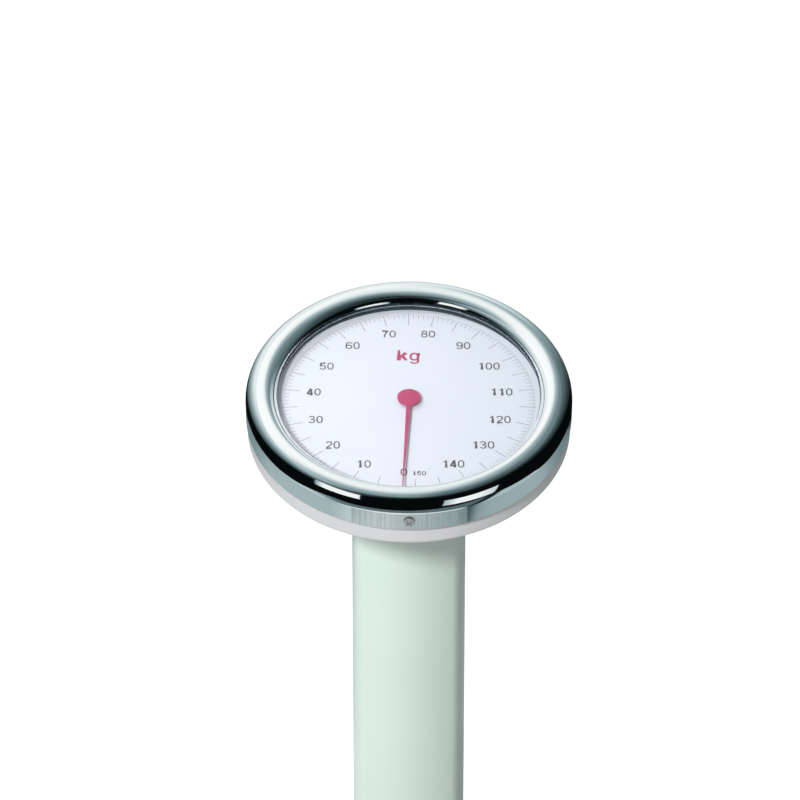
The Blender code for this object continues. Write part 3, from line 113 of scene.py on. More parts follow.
def arc(centre, radius, start, end, steps):
    """Points of (radius, height) along an arc, with its angles in degrees."""
    turns = [math.radians(start + (end - start) * step / steps) for step in range(steps + 1)]
    return [(centre[0] + radius * math.cos(a), centre[1] + radius * math.sin(a)) for a in turns]


def mesh_from(bm, name):
    """A mesh with the bmesh's shape. The bmesh is used up."""
    mesh = bpy.data.meshes.new(name)
    bm.to_mesh(mesh)
    bm.free()
    return mesh


def added(name, data):
    """A new object in the scene that shows a mesh, a lamp or a camera."""
    thing = bpy.data.objects.new(name, data)
    bpy.context.scene.collection.objects.link(thing)
    return thing


def finish_piece(name, bm, finishes, body, *solids, matrix=Matrix.Identity(4)):
    """Make the mesh a piece that rides on a body and stands for the given solids."""
    bmesh.ops.transform(bm, matrix=matrix, verts=bm.verts)
    mesh = mesh_from(bm, name)
    for look in finishes:
        mesh.materials.append(look)
    mesh.shade_smooth()
    mesh.set_sharp_from_angle(angle=SHARP_ANGLE)
    piece = added(name, mesh)
    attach(piece, body)
    if solids:
        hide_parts(*solids)
    print(name, len(mesh.polygons), "faces")


# %% [markdown]
# Paint, plating and rubber differ in colour and gloss, but the same small things make them look
# real: the tone drifts a little over a hand's width, the gloss is never quite even, and close up
# there is a grain. Those three are one node group, built once. It puts out a colour, a roughness
# and a height, and each material feeds it its own values.


# %% The shared surface group
def add_socket(group, name, direction, kind, value=None):
    socket = group.interface.new_socket(name=name, in_out=direction, socket_type=kind)
    if value is not None:
        socket.default_value = value


def noise(tree, vector, scale, detail, rough=0.5):
    texture = tree.nodes.new("ShaderNodeTexNoise")
    texture.inputs["Detail"].default_value = detail
    texture.inputs["Roughness"].default_value = rough
    tree.links.new(vector, texture.inputs["Vector"])
    if isinstance(scale, float):
        texture.inputs["Scale"].default_value = scale
    else:
        tree.links.new(scale, texture.inputs["Scale"])
    return texture.outputs["Fac"]


def spread(tree, value, low, high):
    """Map a noise value from its usual 0.3 to 0.7 onto a new range."""
    step = tree.nodes.new("ShaderNodeMapRange")
    step.inputs["From Min"].default_value = 0.3
    step.inputs["From Max"].default_value = 0.7
    for name, end in (("To Min", low), ("To Max", high)):
        if isinstance(end, (int, float)):
            step.inputs[name].default_value = end
        else:
            tree.links.new(end, step.inputs[name])
    tree.links.new(value, step.inputs["Value"])
    return step.outputs["Result"]


surface = bpy.data.node_groups.new("surface life", "ShaderNodeTree")
add_socket(surface, "Vector", "INPUT", "NodeSocketVector")
add_socket(surface, "Colour", "INPUT", "NodeSocketColor", (0.8, 0.8, 0.8, 1))
add_socket(surface, "Worn Colour", "INPUT", "NodeSocketColor", (0.7, 0.7, 0.7, 1))
add_socket(surface, "Drift Scale", "INPUT", "NodeSocketFloat", 9.0)
add_socket(surface, "Grain Scale", "INPUT", "NodeSocketFloat", 900.0)
add_socket(surface, "Roughness Low", "INPUT", "NodeSocketFloat", 0.3)
add_socket(surface, "Roughness High", "INPUT", "NodeSocketFloat", 0.4)
add_socket(surface, "Colour", "OUTPUT", "NodeSocketColor")
add_socket(surface, "Roughness", "OUTPUT", "NodeSocketFloat")
add_socket(surface, "Height", "OUTPUT", "NodeSocketFloat")
entry = surface.nodes.new("NodeGroupInput")
leave = surface.nodes.new("NodeGroupOutput")
drift = noise(surface, entry.outputs["Vector"], entry.outputs["Drift Scale"], 3.0)
tone = surface.nodes.new("ShaderNodeMix")
tone.data_type = "RGBA"
surface.links.new(spread(surface, drift, 0.0, 1.0), tone.inputs["Factor"])
surface.links.new(entry.outputs["Colour"], tone.inputs["A"])
surface.links.new(entry.outputs["Worn Colour"], tone.inputs["B"])
surface.links.new(tone.outputs["Result"], leave.inputs["Colour"])
smear = noise(surface, entry.outputs["Vector"], 38.0, 5.0, 0.6)
uneven = spread(surface, smear, entry.outputs["Roughness Low"], entry.outputs["Roughness High"])
surface.links.new(uneven, leave.inputs["Roughness"])
grain = noise(surface, entry.outputs["Vector"], entry.outputs["Grain Scale"], 2.0)
surface.links.new(grain, leave.inputs["Height"])
print("group sockets", len(surface.interface.items_tree))


# %% A material from the group
def new_look(name):
    """A new material and its node tree."""
    look = bpy.data.materials.new(name)
    look.use_nodes = True
    return look, look.node_tree


def finish(name, colour, worn, roughness, metallic=0.0, drift=9.0, grain=900.0, bump=0.05,
           depth=0.0002, stretch=(1, 1, 1), coat=0.0, level=0.5):
    """A material whose colour, gloss and grain come from the shared group."""
    made, tree = new_look(name)
    shader = tree.nodes["Principled BSDF"]
    shader.inputs["Metallic"].default_value = metallic
    shader.inputs["Coat Weight"].default_value = coat
    shader.inputs["Coat Roughness"].default_value = 0.08
    shader.inputs["Specular IOR Level"].default_value = level
    place = tree.nodes.new("ShaderNodeTexCoord")
    shape = tree.nodes.new("ShaderNodeMapping")
    shape.inputs["Scale"].default_value = stretch
    life = tree.nodes.new("ShaderNodeGroup")
    life.node_tree = surface
    life.inputs["Colour"].default_value = (*colour, 1)
    life.inputs["Worn Colour"].default_value = (*worn, 1)
    life.inputs["Drift Scale"].default_value = drift
    life.inputs["Grain Scale"].default_value = grain
    life.inputs["Roughness Low"].default_value = roughness[0]
    life.inputs["Roughness High"].default_value = roughness[1]
    relief = tree.nodes.new("ShaderNodeBump")
    relief.name = "relief"
    relief.inputs["Strength"].default_value = bump
    relief.inputs["Distance"].default_value = depth
    tree.links.new(place.outputs["Object"], shape.inputs["Vector"])
    tree.links.new(shape.outputs["Vector"], life.inputs["Vector"])
    tree.links.new(life.outputs["Colour"], shader.inputs["Base Color"])
    tree.links.new(life.outputs["Roughness"], shader.inputs["Roughness"])
    tree.links.new(life.outputs["Height"], relief.inputs["Height"])
    tree.links.new(relief.outputs["Normal"], shader.inputs["Normal"])
    made.diffuse_color = (*colour, 1)
    return made


# %% [markdown]
# The finishes, in the order in which the eye meets them. The rim is polished chromium plate, its
# skirt is the same steel left satin. The column is powder coated in a very pale green, glossy
# enough to show soft reflections. The dial is matt white with crimson and grey print. The levers
# inside the base are cast iron, and the mat is ribbed black rubber.

# %% The finishes
CHROME = finish("polished chrome", (0.90, 0.92, 0.92), (0.87, 0.90, 0.90), (0.035, 0.07), 1.0,
                grain=60.0, bump=0.012)
SATIN = finish("satin steel", (0.72, 0.775, 0.77), (0.67, 0.725, 0.72), (0.13, 0.19), 1.0,
               grain=1400.0, bump=0.04)
BRUSHED = finish("brushed steel", (0.79, 0.84, 0.83), (0.59, 0.64, 0.635), (0.24, 0.42), 1.0,
                 grain=1400.0, bump=0.05, stretch=(95, 0.3, 0.3))
# Near-black steel for the spacer. On the rim's inner crown the same finish is a painted dark
# reflection.
DARK_SPACER_AND_PAINTED_REFLECTION = finish("dark spacer steel and painted reflection", (0.050, 0.075, 0.090), (0.040, 0.062, 0.075), (0.22, 0.32), 1.0,
                    grain=1400.0, bump=0.05)
HOUSING = finish("pale grey enamel", (0.70, 0.70, 0.71), (0.66, 0.67, 0.68), (0.28, 0.36),
                 grain=700.0, bump=0.05, coat=0.2)
COLUMN = finish("pale green powder coat", (0.72, 0.85, 0.78), (0.70, 0.83, 0.76), (0.30, 0.38),
                grain=650.0, bump=0.06, coat=0.25)
BASE = finish("base powder coat", (0.66, 0.75, 0.70), (0.62, 0.71, 0.66), (0.42, 0.55),
              grain=480.0, bump=0.14)
DIAL = finish("dial enamel", (0.71, 0.75, 0.835), (0.695, 0.735, 0.82), (0.45, 0.55),
              drift=14.0, grain=2600.0, bump=0.02)
INK = finish("grey print", (0.035, 0.038, 0.045), (0.050, 0.053, 0.061), (0.5, 0.6),
             grain=5000.0, bump=0.03)
FINE_INK = finish("thin grey print", (0.105, 0.115, 0.135), (0.13, 0.14, 0.16), (0.5, 0.6),
                  grain=5000.0, bump=0.03)
CRIMSON = finish("crimson lacquer", (0.46, 0.012, 0.115), (0.42, 0.010, 0.105), (0.30, 0.40),
                 grain=1800.0, bump=0.03, level=0.3)
ZINC = finish("zinc plate", (0.55, 0.57, 0.58), (0.48, 0.50, 0.52), (0.28, 0.42), 1.0,
              drift=60.0, grain=1500.0, bump=0.08)
BRASS = finish("turned brass", (0.70, 0.52, 0.22), (0.60, 0.43, 0.18), (0.22, 0.36), 1.0,
               drift=60.0, grain=1800.0, bump=0.05)
SCREW_STEEL = finish("screw steel", (0.56, 0.59, 0.58), (0.46, 0.49, 0.48), (0.40, 0.52), 0.5,
                     drift=60.0, grain=1500.0, bump=0.05)
IRON = finish("cast iron", (0.16, 0.165, 0.17), (0.11, 0.115, 0.12), (0.55, 0.75), 0.5,
              drift=40.0, grain=420.0, bump=0.45, depth=0.0006)
RUBBER = finish("black rubber", (0.022, 0.022, 0.023), (0.035, 0.035, 0.036), (0.62, 0.80),
                drift=50.0, grain=1500.0, bump=0.12)
MAT = finish("mat rubber", (0.045, 0.046, 0.050), (0.070, 0.070, 0.072), (0.60, 0.78),
             drift=12.0, grain=1100.0, bump=0.16)
print("finishes", len(bpy.data.materials))

# %% [markdown]
# The rim is one pressed ring. Its crown is a half round that catches the light in long streaks,
# so it needs a fine arc and a fine spin, or the reflections break into facets. Below the crown
# the same metal runs straight down as a satin skirt, upright brushed over its front. The last of
# the crown inside, next to the glass, takes the spacer's near-black finish, a painted dark
# reflection, but for a satin edge 0.4 mm wide. All are one mesh with four finishes. Places on
# the crown are angles round the middle of its section, in degrees: up from level outside for
# the arcs, and up from level inside for the two limits.

# %% The bezel ring
HEAD_RADIUS = 0.150
CROWN = (0.1350, 0.0053)
CROWN_RADIUS = 0.0150
CROWN_END = 169
SATIN_EDGE = 1.6
SATIN_LIMIT = 13
PAINTED_DARK_LIMIT = 24
SHEET = 0.0015
SKIRT_LOW = -0.0146
SKIRT_RISE = -0.0004
HEM_ROUND = 0.0004
BRUSHED_HALF = 0.051
outer_crown = (arc(CROWN, CROWN_RADIUS, 0, CROWN_END - SATIN_EDGE, 43)
               + arc(CROWN, CROWN_RADIUS, CROWN_END - SATIN_EDGE / 2, CROWN_END, 1))
inner_crown = arc(CROWN, CROWN_RADIUS - SHEET, CROWN_END, 0, 28)
hem = [(HEAD_RADIUS - SHEET, SKIRT_LOW + HEM_ROUND), (HEAD_RADIUS - SHEET + HEM_ROUND, SKIRT_LOW),
       (HEAD_RADIUS - HEM_ROUND, SKIRT_LOW), (HEAD_RADIUS, SKIRT_LOW + HEM_ROUND)]
ring = turned(hem + outer_crown + inner_crown, 320)
for face in ring.faces:
    middle = face.calc_center_median()
    rise = middle.z - CROWN[1]
    inset = CROWN[0] - math.hypot(middle.x, middle.y)
    slope = math.degrees(math.atan2(rise, inset))
    if rise < SKIRT_RISE:
        face.material_index = 2 if abs(middle.x) < BRUSHED_HALF and middle.y < 0 else 1
    # Inside, from 13 to 24 degrees up, the chrome crown takes the spacer's near-black finish as a
    # painted dark reflection. Below 13 degrees it is satin.
    elif inset > 0 and slope < PAINTED_DARK_LIMIT:
        face.material_index = 3 if slope > SATIN_LIMIT else 1
finish_piece("bezel_rim", ring, (CHROME, SATIN, BRUSHED, DARK_SPACER_AND_PAINTED_REFLECTION), "frame", "bezel_ring",
             matrix=HEAD)

# %% [markdown]
# Inside the rim a steel spacer holds the glass above the dial. Its wall is what shows as a dark
# line round the far side of the dial.

# %% The spacer
WALL_INSIDE = 0.1222
WALL_OUTSIDE = 0.1339
WALL_LOW = 0.0003
WALL_TOP = 0.0054
WALL_BEVEL = 0.0002
STEP_INSIDE = 0.1295
STEP_TOP = 0.0044
wall = [(WALL_INSIDE, WALL_LOW), (WALL_OUTSIDE, WALL_LOW), (WALL_OUTSIDE, STEP_TOP),
        (STEP_INSIDE, STEP_TOP), (STEP_INSIDE, WALL_TOP), (WALL_INSIDE + WALL_BEVEL, WALL_TOP),
        (WALL_INSIDE, WALL_TOP - WALL_BEVEL)]
finish_piece("dial_wall", turned(wall, 320), (DARK_SPACER_AND_PAINTED_REFLECTION,), "frame", "dial_spacer", matrix=HEAD)

# %% [markdown]
# The glass is a real disc with a ground edge. Glass in Cycles blocks the light that falls through
# it, so its material lets shadow rays and diffuse rays straight through, and keeps its gloss for
# every other ray.

# %% The glass
GLASS_LOW = 0.0057
GLASS_TOP = 0.0077
GLASS_RADIUS = 0.1300
GROUND_EDGE = 0.0003


def maths(tree, operation, *values):
    """A maths node with its inputs linked or set, and its output."""
    step = tree.nodes.new("ShaderNodeMath")
    step.operation = operation
    for socket, value in zip(step.inputs, values):
        if isinstance(value, (int, float)):
            socket.default_value = value
        else:
            tree.links.new(value, socket)
    return step.outputs[0]


GLASS, glass_tree = new_look("window glass")
clear = glass_tree.nodes["Principled BSDF"]
clear.inputs["Base Color"].default_value = (0.97, 0.985, 0.985, 1)
clear.inputs["Roughness"].default_value = 0.0
clear.inputs["Transmission Weight"].default_value = 1.0
clear.inputs["IOR"].default_value = 1.45
clear.inputs["Specular IOR Level"].default_value = 0.3
glass_spot = glass_tree.nodes.new("ShaderNodeTexCoord")
smudge = noise(glass_tree, glass_spot.outputs["Object"], 22.0, 4.0)
glass_tree.links.new(spread(glass_tree, smudge, 0.0, 0.012), clear.inputs["Roughness"])
open_way = glass_tree.nodes.new("ShaderNodeBsdfTransparent")
path = glass_tree.nodes.new("ShaderNodeLightPath")
either = maths(glass_tree, "MAXIMUM", path.outputs["Is Shadow Ray"], path.outputs["Is Diffuse Ray"])
choose = glass_tree.nodes.new("ShaderNodeMixShader")
glass_tree.links.new(either, choose.inputs["Fac"])
glass_tree.links.new(clear.outputs["BSDF"], choose.inputs[1])
glass_tree.links.new(open_way.outputs["BSDF"], choose.inputs[2])
glass_tree.links.new(choose.outputs["Shader"], glass_tree.nodes["Material Output"].inputs["Surface"])
pane = [(0.0, GLASS_LOW), (GLASS_RADIUS - GROUND_EDGE, GLASS_LOW),
        (GLASS_RADIUS, GLASS_LOW + GROUND_EDGE), (GLASS_RADIUS, GLASS_TOP - GROUND_EDGE),
        (GLASS_RADIUS - GROUND_EDGE, GLASS_TOP), (0.0, GLASS_TOP)]
finish_piece("window_pane", turned(pane, 192, closed=False), (GLASS,), "frame", "window_glass",
             matrix=HEAD)

# %% [markdown]
# The housing is the pan behind the dial. Only its rolled lip shows in front, but its shallow
# cone shows from below and behind, with the opening through which the column's bracket comes
# up. That opening is upright while the pan leans, so it is cut with a Boolean: `carved` applies
# one to a copy and hands back a finished bmesh, and leaves no live cutter behind.


# %% The housing
def carved(bm, *cutters):
    """The bmesh with closed shapes cut out of it."""
    blanks = [added("blank", mesh_from(shape, "blank")) for shape in (bm, *cutters)]
    for cutter in blanks[1:]:
        step = blanks[0].modifiers.new("cut", "BOOLEAN")
        step.operation = "DIFFERENCE"
        step.solver = "EXACT"
        step.object = cutter
    seen = blanks[0].evaluated_get(bpy.context.evaluated_depsgraph_get())
    result = bmesh.new()
    result.from_mesh(seen.to_mesh())
    seen.to_mesh_clear()
    for thing in blanks:
        bpy.data.objects.remove(thing, do_unlink=True)
    bmesh.ops.remove_doubles(result, verts=result.verts, dist=1e-7)
    return result


def rounded_plate(width, depth, corner, centre_y, segments=10):
    """One flat face, width by depth, with round corners."""
    bm = bmesh.new()
    bmesh.ops.create_grid(bm, x_segments=1, y_segments=1, size=0.5)
    bmesh.ops.scale(bm, vec=(width, depth, 1), verts=bm.verts)
    bmesh.ops.translate(bm, vec=(0, centre_y, 0), verts=bm.verts)
    bmesh.ops.bevel(bm, geom=bm.verts[:], offset=corner, offset_type="OFFSET", segments=segments,
                    affect="VERTICES", profile=0.5, material=-1, clamp_overlap=True)
    return bm


def only(kind, items):
    """Those of the items that are of one kind, such as corners or edges."""
    return [item for item in items if isinstance(item, kind)]


def raised(bm, low, high):
    """A flat plate turned into a solid between two heights."""
    bmesh.ops.translate(bm, vec=(0, 0, low), verts=bm.verts)
    made = bmesh.ops.extrude_face_region(bm, geom=bm.faces[:])
    top = only(bmesh.types.BMVert, made["geom"])
    bmesh.ops.translate(bm, vec=(0, 0, high - low), verts=top)
    bmesh.ops.recalc_face_normals(bm, faces=bm.faces)
    return bm


ROLL = (0.1445, -0.030)
ROLL_RADIUS = 0.0045
ROLL_START = -75
PAN_LOW = -0.050
PAN_FLAT = 0.090
PAN_SHEET = 0.002
NECK = (0.1468, -0.0142)
COLLAR = (0.1482, -0.0120)
FLANGE_INSIDE = 0.1360
FLANGE_TOP = -0.0013
PORT_WIDTH = 0.1010
PORT_DEPTH = 0.0660
PORT_CORNER = 0.010
PORT_FROM = 0.10
PORT_TO = 0.02
pan = [(0.0, PAN_LOW), (PAN_FLAT, PAN_LOW)] + arc(ROLL, ROLL_RADIUS, ROLL_START, 0, 14)
pan += [NECK, COLLAR, (COLLAR[0], FLANGE_TOP), (FLANGE_INSIDE, FLANGE_TOP),
        (FLANGE_INSIDE, FLANGE_TOP - PAN_SHEET), (COLLAR[0] - PAN_SHEET, FLANGE_TOP - PAN_SHEET),
        (COLLAR[0] - PAN_SHEET, COLLAR[1]), (NECK[0] - PAN_SHEET, NECK[1])]
pan += arc(ROLL, ROLL_RADIUS - PAN_SHEET, 0, ROLL_START, 14)
pan += [(PAN_FLAT, PAN_LOW + PAN_SHEET), (0.0, PAN_LOW + PAN_SHEET)]
housing = turned(pan, 256, closed=False)
bmesh.ops.transform(housing, matrix=HEAD, verts=housing.verts)
port_plate = rounded_plate(PORT_WIDTH, PORT_DEPTH, PORT_CORNER, COLUMN_Y)
port = raised(port_plate, DIAL_HEIGHT - PORT_FROM, DIAL_HEIGHT - PORT_TO)
finish_piece("head_pan", carved(housing, port), (HOUSING,), "frame", "head_housing")

# %% [markdown]
# The column is a box section with well-rounded corners, rolled from 2 mm sheet and coated. Its
# top is cut at the slant of the head. A ring of face is left by the inset, it is extruded to a
# tube, and one bisecting plane makes the slant.

# %% The column
COLUMN_WIDTH = 0.105
COLUMN_DEPTH = 0.070
COLUMN_CORNER = 0.012
COLUMN_SHEET = 0.002
SLANT_SPARE = 0.02
PAN_SEAT = -0.0503
sheet_ring = rounded_plate(COLUMN_WIDTH, COLUMN_DEPTH, COLUMN_CORNER, COLUMN_Y, 12)
bmesh.ops.inset_region(sheet_ring, faces=sheet_ring.faces[:], thickness=COLUMN_SHEET,
                       use_boundary=True, use_even_offset=True)
middle_face = max(sheet_ring.faces, key=lambda face: face.calc_area())
bmesh.ops.delete(sheet_ring, geom=[middle_face], context="FACES_ONLY")
tube = raised(sheet_ring, column_low.z, column_high.z + SLANT_SPARE)
slant = HEAD.to_3x3() @ Vector((0, 0, 1))
rest_point = HEAD @ Vector((0, 0, PAN_SEAT))
halves = bmesh.ops.bisect_plane(tube, geom=tube.verts[:] + tube.edges[:] + tube.faces[:],
                                plane_co=rest_point, plane_no=slant, clear_outer=True)
cut_edges = only(bmesh.types.BMEdge, halves["geom_cut"])
bmesh.ops.bridge_loops(tube, edges=cut_edges)
bmesh.ops.recalc_face_normals(tube, faces=tube.faces)
finish_piece("column_shell", tube, (COLUMN,), "frame", "column_tube")

# %% [markdown]
# Rolled sheet is never quite flat: the wide faces are a touch convex, and fullest a little left
# of the middle. That is too slight to change the outline, but it makes the light fall off
# smoothly from left to right, so it goes into the coating as a very shallow relief that drops
# with the square of the distance from its fullest line.

# %% The crown of the wide faces
CROWNING = 5.4
FULLEST = -0.019
coat_tree = COLUMN.node_tree
coat_spot = coat_tree.nodes.new("ShaderNodeTexCoord")
coat_parts = coat_tree.nodes.new("ShaderNodeSeparateXYZ")
coat_tree.links.new(coat_spot.outputs["Object"], coat_parts.inputs["Vector"])
aside = maths(coat_tree, "SUBTRACT", coat_parts.outputs["X"], FULLEST)
crowned = coat_tree.nodes.new("ShaderNodeBump")
crowned.invert = True
crowned.inputs["Distance"].default_value = CROWNING
coat_tree.links.new(maths(coat_tree, "POWER", aside, 2.0), crowned.inputs["Height"])
coat_tree.links.new(crowned.outputs["Normal"], coat_tree.nodes["relief"].inputs["Normal"])

# %% [markdown]
# The dial is printed. Each graduation is a hair of ink, 0.03 mm thick here so that it lies on
# the enamel without flickering. One turn of the pointer is 354.1 degrees for 150 kilograms, so
# a kilogram is 2.3607 degrees, and zero stands 2.95 degrees left of the bottom. Long lines fall
# on every fifth kilogram, shorter ones on the rest, and the shortest on the halves.

# %% The graduations
ZERO = 2.95
FULL_TURN = 354.1
FULL_LOAD = 150
PER_KILO = FULL_TURN / FULL_LOAD
RIM_OF_SCALE = 0.1164
INK_DEPTH = 0.00003
INK_GAP = 0.00002
LONG_LINE = (0.0149, 0.00050)
KILO_LINE = (0.0062, 0.00034)
HALF_LINE = (0.0026, 0.00030)


def dial_direction(kilos):
    """The direction of a mark, in radians from +X of the head, read clockwise from the bottom."""
    return math.radians(270 - ZERO - PER_KILO * kilos)


def add_block(bm, place, length, width, height):
    """Add a block of three sizes round the place that a matrix gives."""
    bmesh.ops.create_cube(bm, size=1, matrix=place @ Matrix.Diagonal((length, width, height, 1)))


def printed_line(bm, kilos, length, width):
    turn = Matrix.Rotation(dial_direction(kilos), 4, "Z")
    middle = Matrix.Translation((RIM_OF_SCALE - length / 2, 0, INK_DEPTH / 2 + INK_GAP))
    add_block(bm, turn @ middle, length, width, INK_DEPTH)


long_lines = bmesh.new()
fine_lines = bmesh.new()
for half in range(2 * FULL_LOAD + 1):
    kilos = half / 2
    if half % 10 == 0:
        printed_line(long_lines, kilos, *LONG_LINE)
    elif half % 2 == 0:
        printed_line(fine_lines, kilos, *KILO_LINE)
    else:
        printed_line(fine_lines, kilos, *HALF_LINE)
finish_piece("dial_long_lines", long_lines, (FINE_INK,), "frame", matrix=HEAD)
finish_piece("dial_fine_lines", fine_lines, (FINE_INK,), "frame", matrix=HEAD)

# %% [markdown]
# The numerals are a plain upright sans, drawn here stroke by stroke: a ribbon of ink follows each
# stroke's centre line, so a figure has the same weight all through, and a bow is a slightly
# squared ellipse, as in most signage letters. A figure is one unit tall and 0.66 wide. They all stand
# upright on a circle that bulges a little toward the top and bottom of the dial. The last one,
# 150, sits beside 0 and is about half as tall. Above the middle the dial says what it counts in.


# %% The strokes
FIGURE_WIDTH = 0.66
BOW_STEPS = 28
BOW_POWER = 0.86


def bow(centre, radii, start, end):
    """Points along part of a squared ellipse, with its angles in degrees."""
    points = []
    for step in range(BOW_STEPS + 1):
        turn = math.radians(start + (end - start) * step / BOW_STEPS)
        across, along = math.cos(turn), math.sin(turn)
        points.append((centre[0] + radii[0] * math.copysign(abs(across) ** BOW_POWER, across),
                       centre[1] + radii[1] * math.copysign(abs(along) ** BOW_POWER, along)))
    return points


SIX = [bow((0.33, 0.31), (0.26, 0.25), 0, 360),
       bow((0.35, 0.64), (0.28, 0.305), 28, 180) + [(0.07, 0.50), (0.07, 0.31)]]
STROKES = {
    "0": [bow((0.33, 0.5), (0.255, 0.445), 0, 360)],
    "1": [[(0.40, 0.0), (0.40, 1.0)], bow((0.13, 1.03), (0.25, 0.25), 275, 350)],
    "2": [bow((0.33, 0.69), (0.255, 0.255), 168, -32) + [(0.45, 0.45), (0.24, 0.28), (0.115, 0.10)],
          [(0.055, 0.055), (0.60, 0.055)]],
    "3": [bow((0.32, 0.735), (0.215, 0.21), 165, -90), bow((0.32, 0.29), (0.255, 0.235), 90, -165),
          [(0.24, 0.525), (0.34, 0.525)]],
    "4": [[(0.47, 0.0), (0.47, 1.0)], [(0.45, 0.97), (0.075, 0.28)], [(0.03, 0.275), (0.63, 0.275)]],
    "5": [[(0.58, 0.945), (0.155, 0.945)], [(0.175, 0.95), (0.10, 0.46)],
          bow((0.325, 0.315), (0.26, 0.26), 146, -165)],
    "6": SIX,
    "7": [[(0.05, 0.945), (0.61, 0.945)], [(0.585, 0.93), (0.43, 0.68), (0.31, 0.38), (0.265, 0.0)]],
    "8": [bow((0.33, 0.74), (0.21, 0.205), 0, 360), bow((0.33, 0.29), (0.26, 0.235), 0, 360)],
    "9": [[(FIGURE_WIDTH - x, 1 - y) for x, y in stroke] for stroke in SIX],
    "k": [[(0.09, 0.0), (0.09, 1.0)], [(0.52, 0.72), (0.13, 0.27)], [(0.27, 0.42), (0.56, 0.0)]],
    "g": [bow((0.30, 0.36), (0.225, 0.31), 0, 360),
          [(0.53, 0.71), (0.53, 0.30)] + bow((0.30, -0.05), (0.23, 0.21), 0, -160)],
}


def ribbon(bm, points, width, place):
    """Lay a flat ribbon along the points, mitred where they bend."""
    closed = (Vector(points[0]) - Vector(points[-1])).length < 0.001
    line = [Vector(point) for point in (points[:-1] if closed else points)]
    last = len(line) - 1
    rails = []
    for number, here in enumerate(line):
        before = line[number - 1] if closed or number else here
        after = line[(number + 1) % len(line)] if closed or number < last else here
        arrive = (here - before).normalized() or (after - here).normalized()
        depart = (after - here).normalized() or arrive
        side = Vector((-arrive.y - depart.y, arrive.x + depart.x)).normalized()
        reach = width / 2 / max(side.dot(Vector((-arrive.y, arrive.x))), 0.5)
        rails.append([bm.verts.new(place @ (here + side * reach * way).to_3d()) for way in (1, -1)])
    for number in range(len(rails) if closed else last):
        (a, b), (c, d) = rails[number], rails[(number + 1) % len(rails)]
        bm.faces.new((a, b, d, c))


def lettering(bm, words, centre, tall, wide=1.015, weight=0.136, pitch=0.76):
    """Write the words upright and centred on a place on the dial."""
    long = (len(words) - 1) * pitch + FIGURE_WIDTH
    for number, sign in enumerate(words):
        corner = (centre[0] + (number * pitch - long / 2) * tall * wide, centre[1] - tall / 2,
                  INK_GAP + INK_DEPTH)
        place = Matrix.Translation(corner) @ Matrix.Diagonal((tall * wide, tall, 1, 1))
        for stroke in STROKES[sign]:
            ribbon(bm, stroke, weight, place)


# %% The numerals
FIGURE_RADIUS = 0.0885
FIGURE_HEIGHT = 0.0092
BULGE = 0.0040
TOP_SINK = 0.0012
RIGHT_SHIFT = 0.0024
LAST_FIGURE = (0.0090, -0.0939)
LAST_HEIGHT = 0.0050
UNIT_PLACE = (0.0, 0.0605)
UNIT_HEIGHT = 0.0140
numerals = bmesh.new()
for kilos in range(0, FULL_LOAD, 10):
    way = dial_direction(kilos)
    radius = FIGURE_RADIUS + BULGE * math.sin(way) ** 2 - TOP_SINK * max(math.sin(way), 0)
    inward = RIGHT_SHIFT * max(math.cos(way), 0)
    spot = (radius * math.cos(way) - inward, radius * math.sin(way))
    lettering(numerals, str(kilos), spot, FIGURE_HEIGHT)
lettering(numerals, str(FULL_LOAD), LAST_FIGURE, LAST_HEIGHT, 1.12, 0.165, 0.80)
finish_piece("dial_numerals", numerals, (INK,), "frame", matrix=HEAD)
unit = bmesh.new()
lettering(unit, "kg", UNIT_PLACE, UNIT_HEIGHT, 1.1, 0.135, 0.72)
finish_piece("dial_unit", unit, (CRIMSON,), "frame", matrix=HEAD)

# %% [markdown]
# The pointer is a flat hub with a long thin blade, lacquered crimson. The hub is a short disc
# with rounded edges, and the blade tapers from 4.2 mm to 0.8 mm. It rides on the pointer's own
# body, so it sweeps the dial as the load changes.

# %% The pointer
HUB_RADIUS = 0.0107
HUB_LOW = 0.0032
HUB_TOP = 0.0048
HUB_ROUND = 0.0003
BLADE_LOW = 0.0036
BLADE_TOP = 0.0044
BLADE_ROOT = (0.0021, -0.004)
BLADE_TIP = (0.0004, -0.116)


def round_edges(bm, edges, width, segments):
    bmesh.ops.bevel(bm, geom=edges, offset=width, offset_type="OFFSET", segments=segments,
                    affect="EDGES", profile=0.5, material=-1, clamp_overlap=True)


def soften(bm, width, segments, angle=40):
    """Round every edge that is sharper than an angle."""
    keen = [edge for edge in bm.edges
            if len(edge.link_faces) == 2 and edge.calc_face_angle(0) > math.radians(angle)]
    round_edges(bm, keen, width, segments)


hub = bmesh.new()
bmesh.ops.create_circle(hub, cap_ends=True, segments=96, radius=HUB_RADIUS)
soften(raised(hub, HUB_LOW, HUB_TOP), HUB_ROUND, 3)
blade = bmesh.new()
for x, y in ((-BLADE_ROOT[0], BLADE_ROOT[1]), (-BLADE_TIP[0], BLADE_TIP[1]), BLADE_TIP, BLADE_ROOT):
    blade.verts.new((x, y, 0))
blade.faces.new(blade.verts)
raised(blade, BLADE_LOW, BLADE_TOP)
bmesh.ops.rotate(blade, matrix=Matrix.Rotation(math.radians(-ZERO), 3, "Z"), verts=blade.verts)
blade_mesh = mesh_from(blade, "blade")
hub.from_mesh(blade_mesh)
bpy.data.meshes.remove(blade_mesh)
finish_piece("needle", hub, (CRIMSON,), "pointer", "pointer", matrix=HEAD)

# %% [markdown]
# Three pan-head screws hold the rim. The one at the front shows its cross recess. The head is
# a spin of a low dome, and two small blocks are cut out of it.

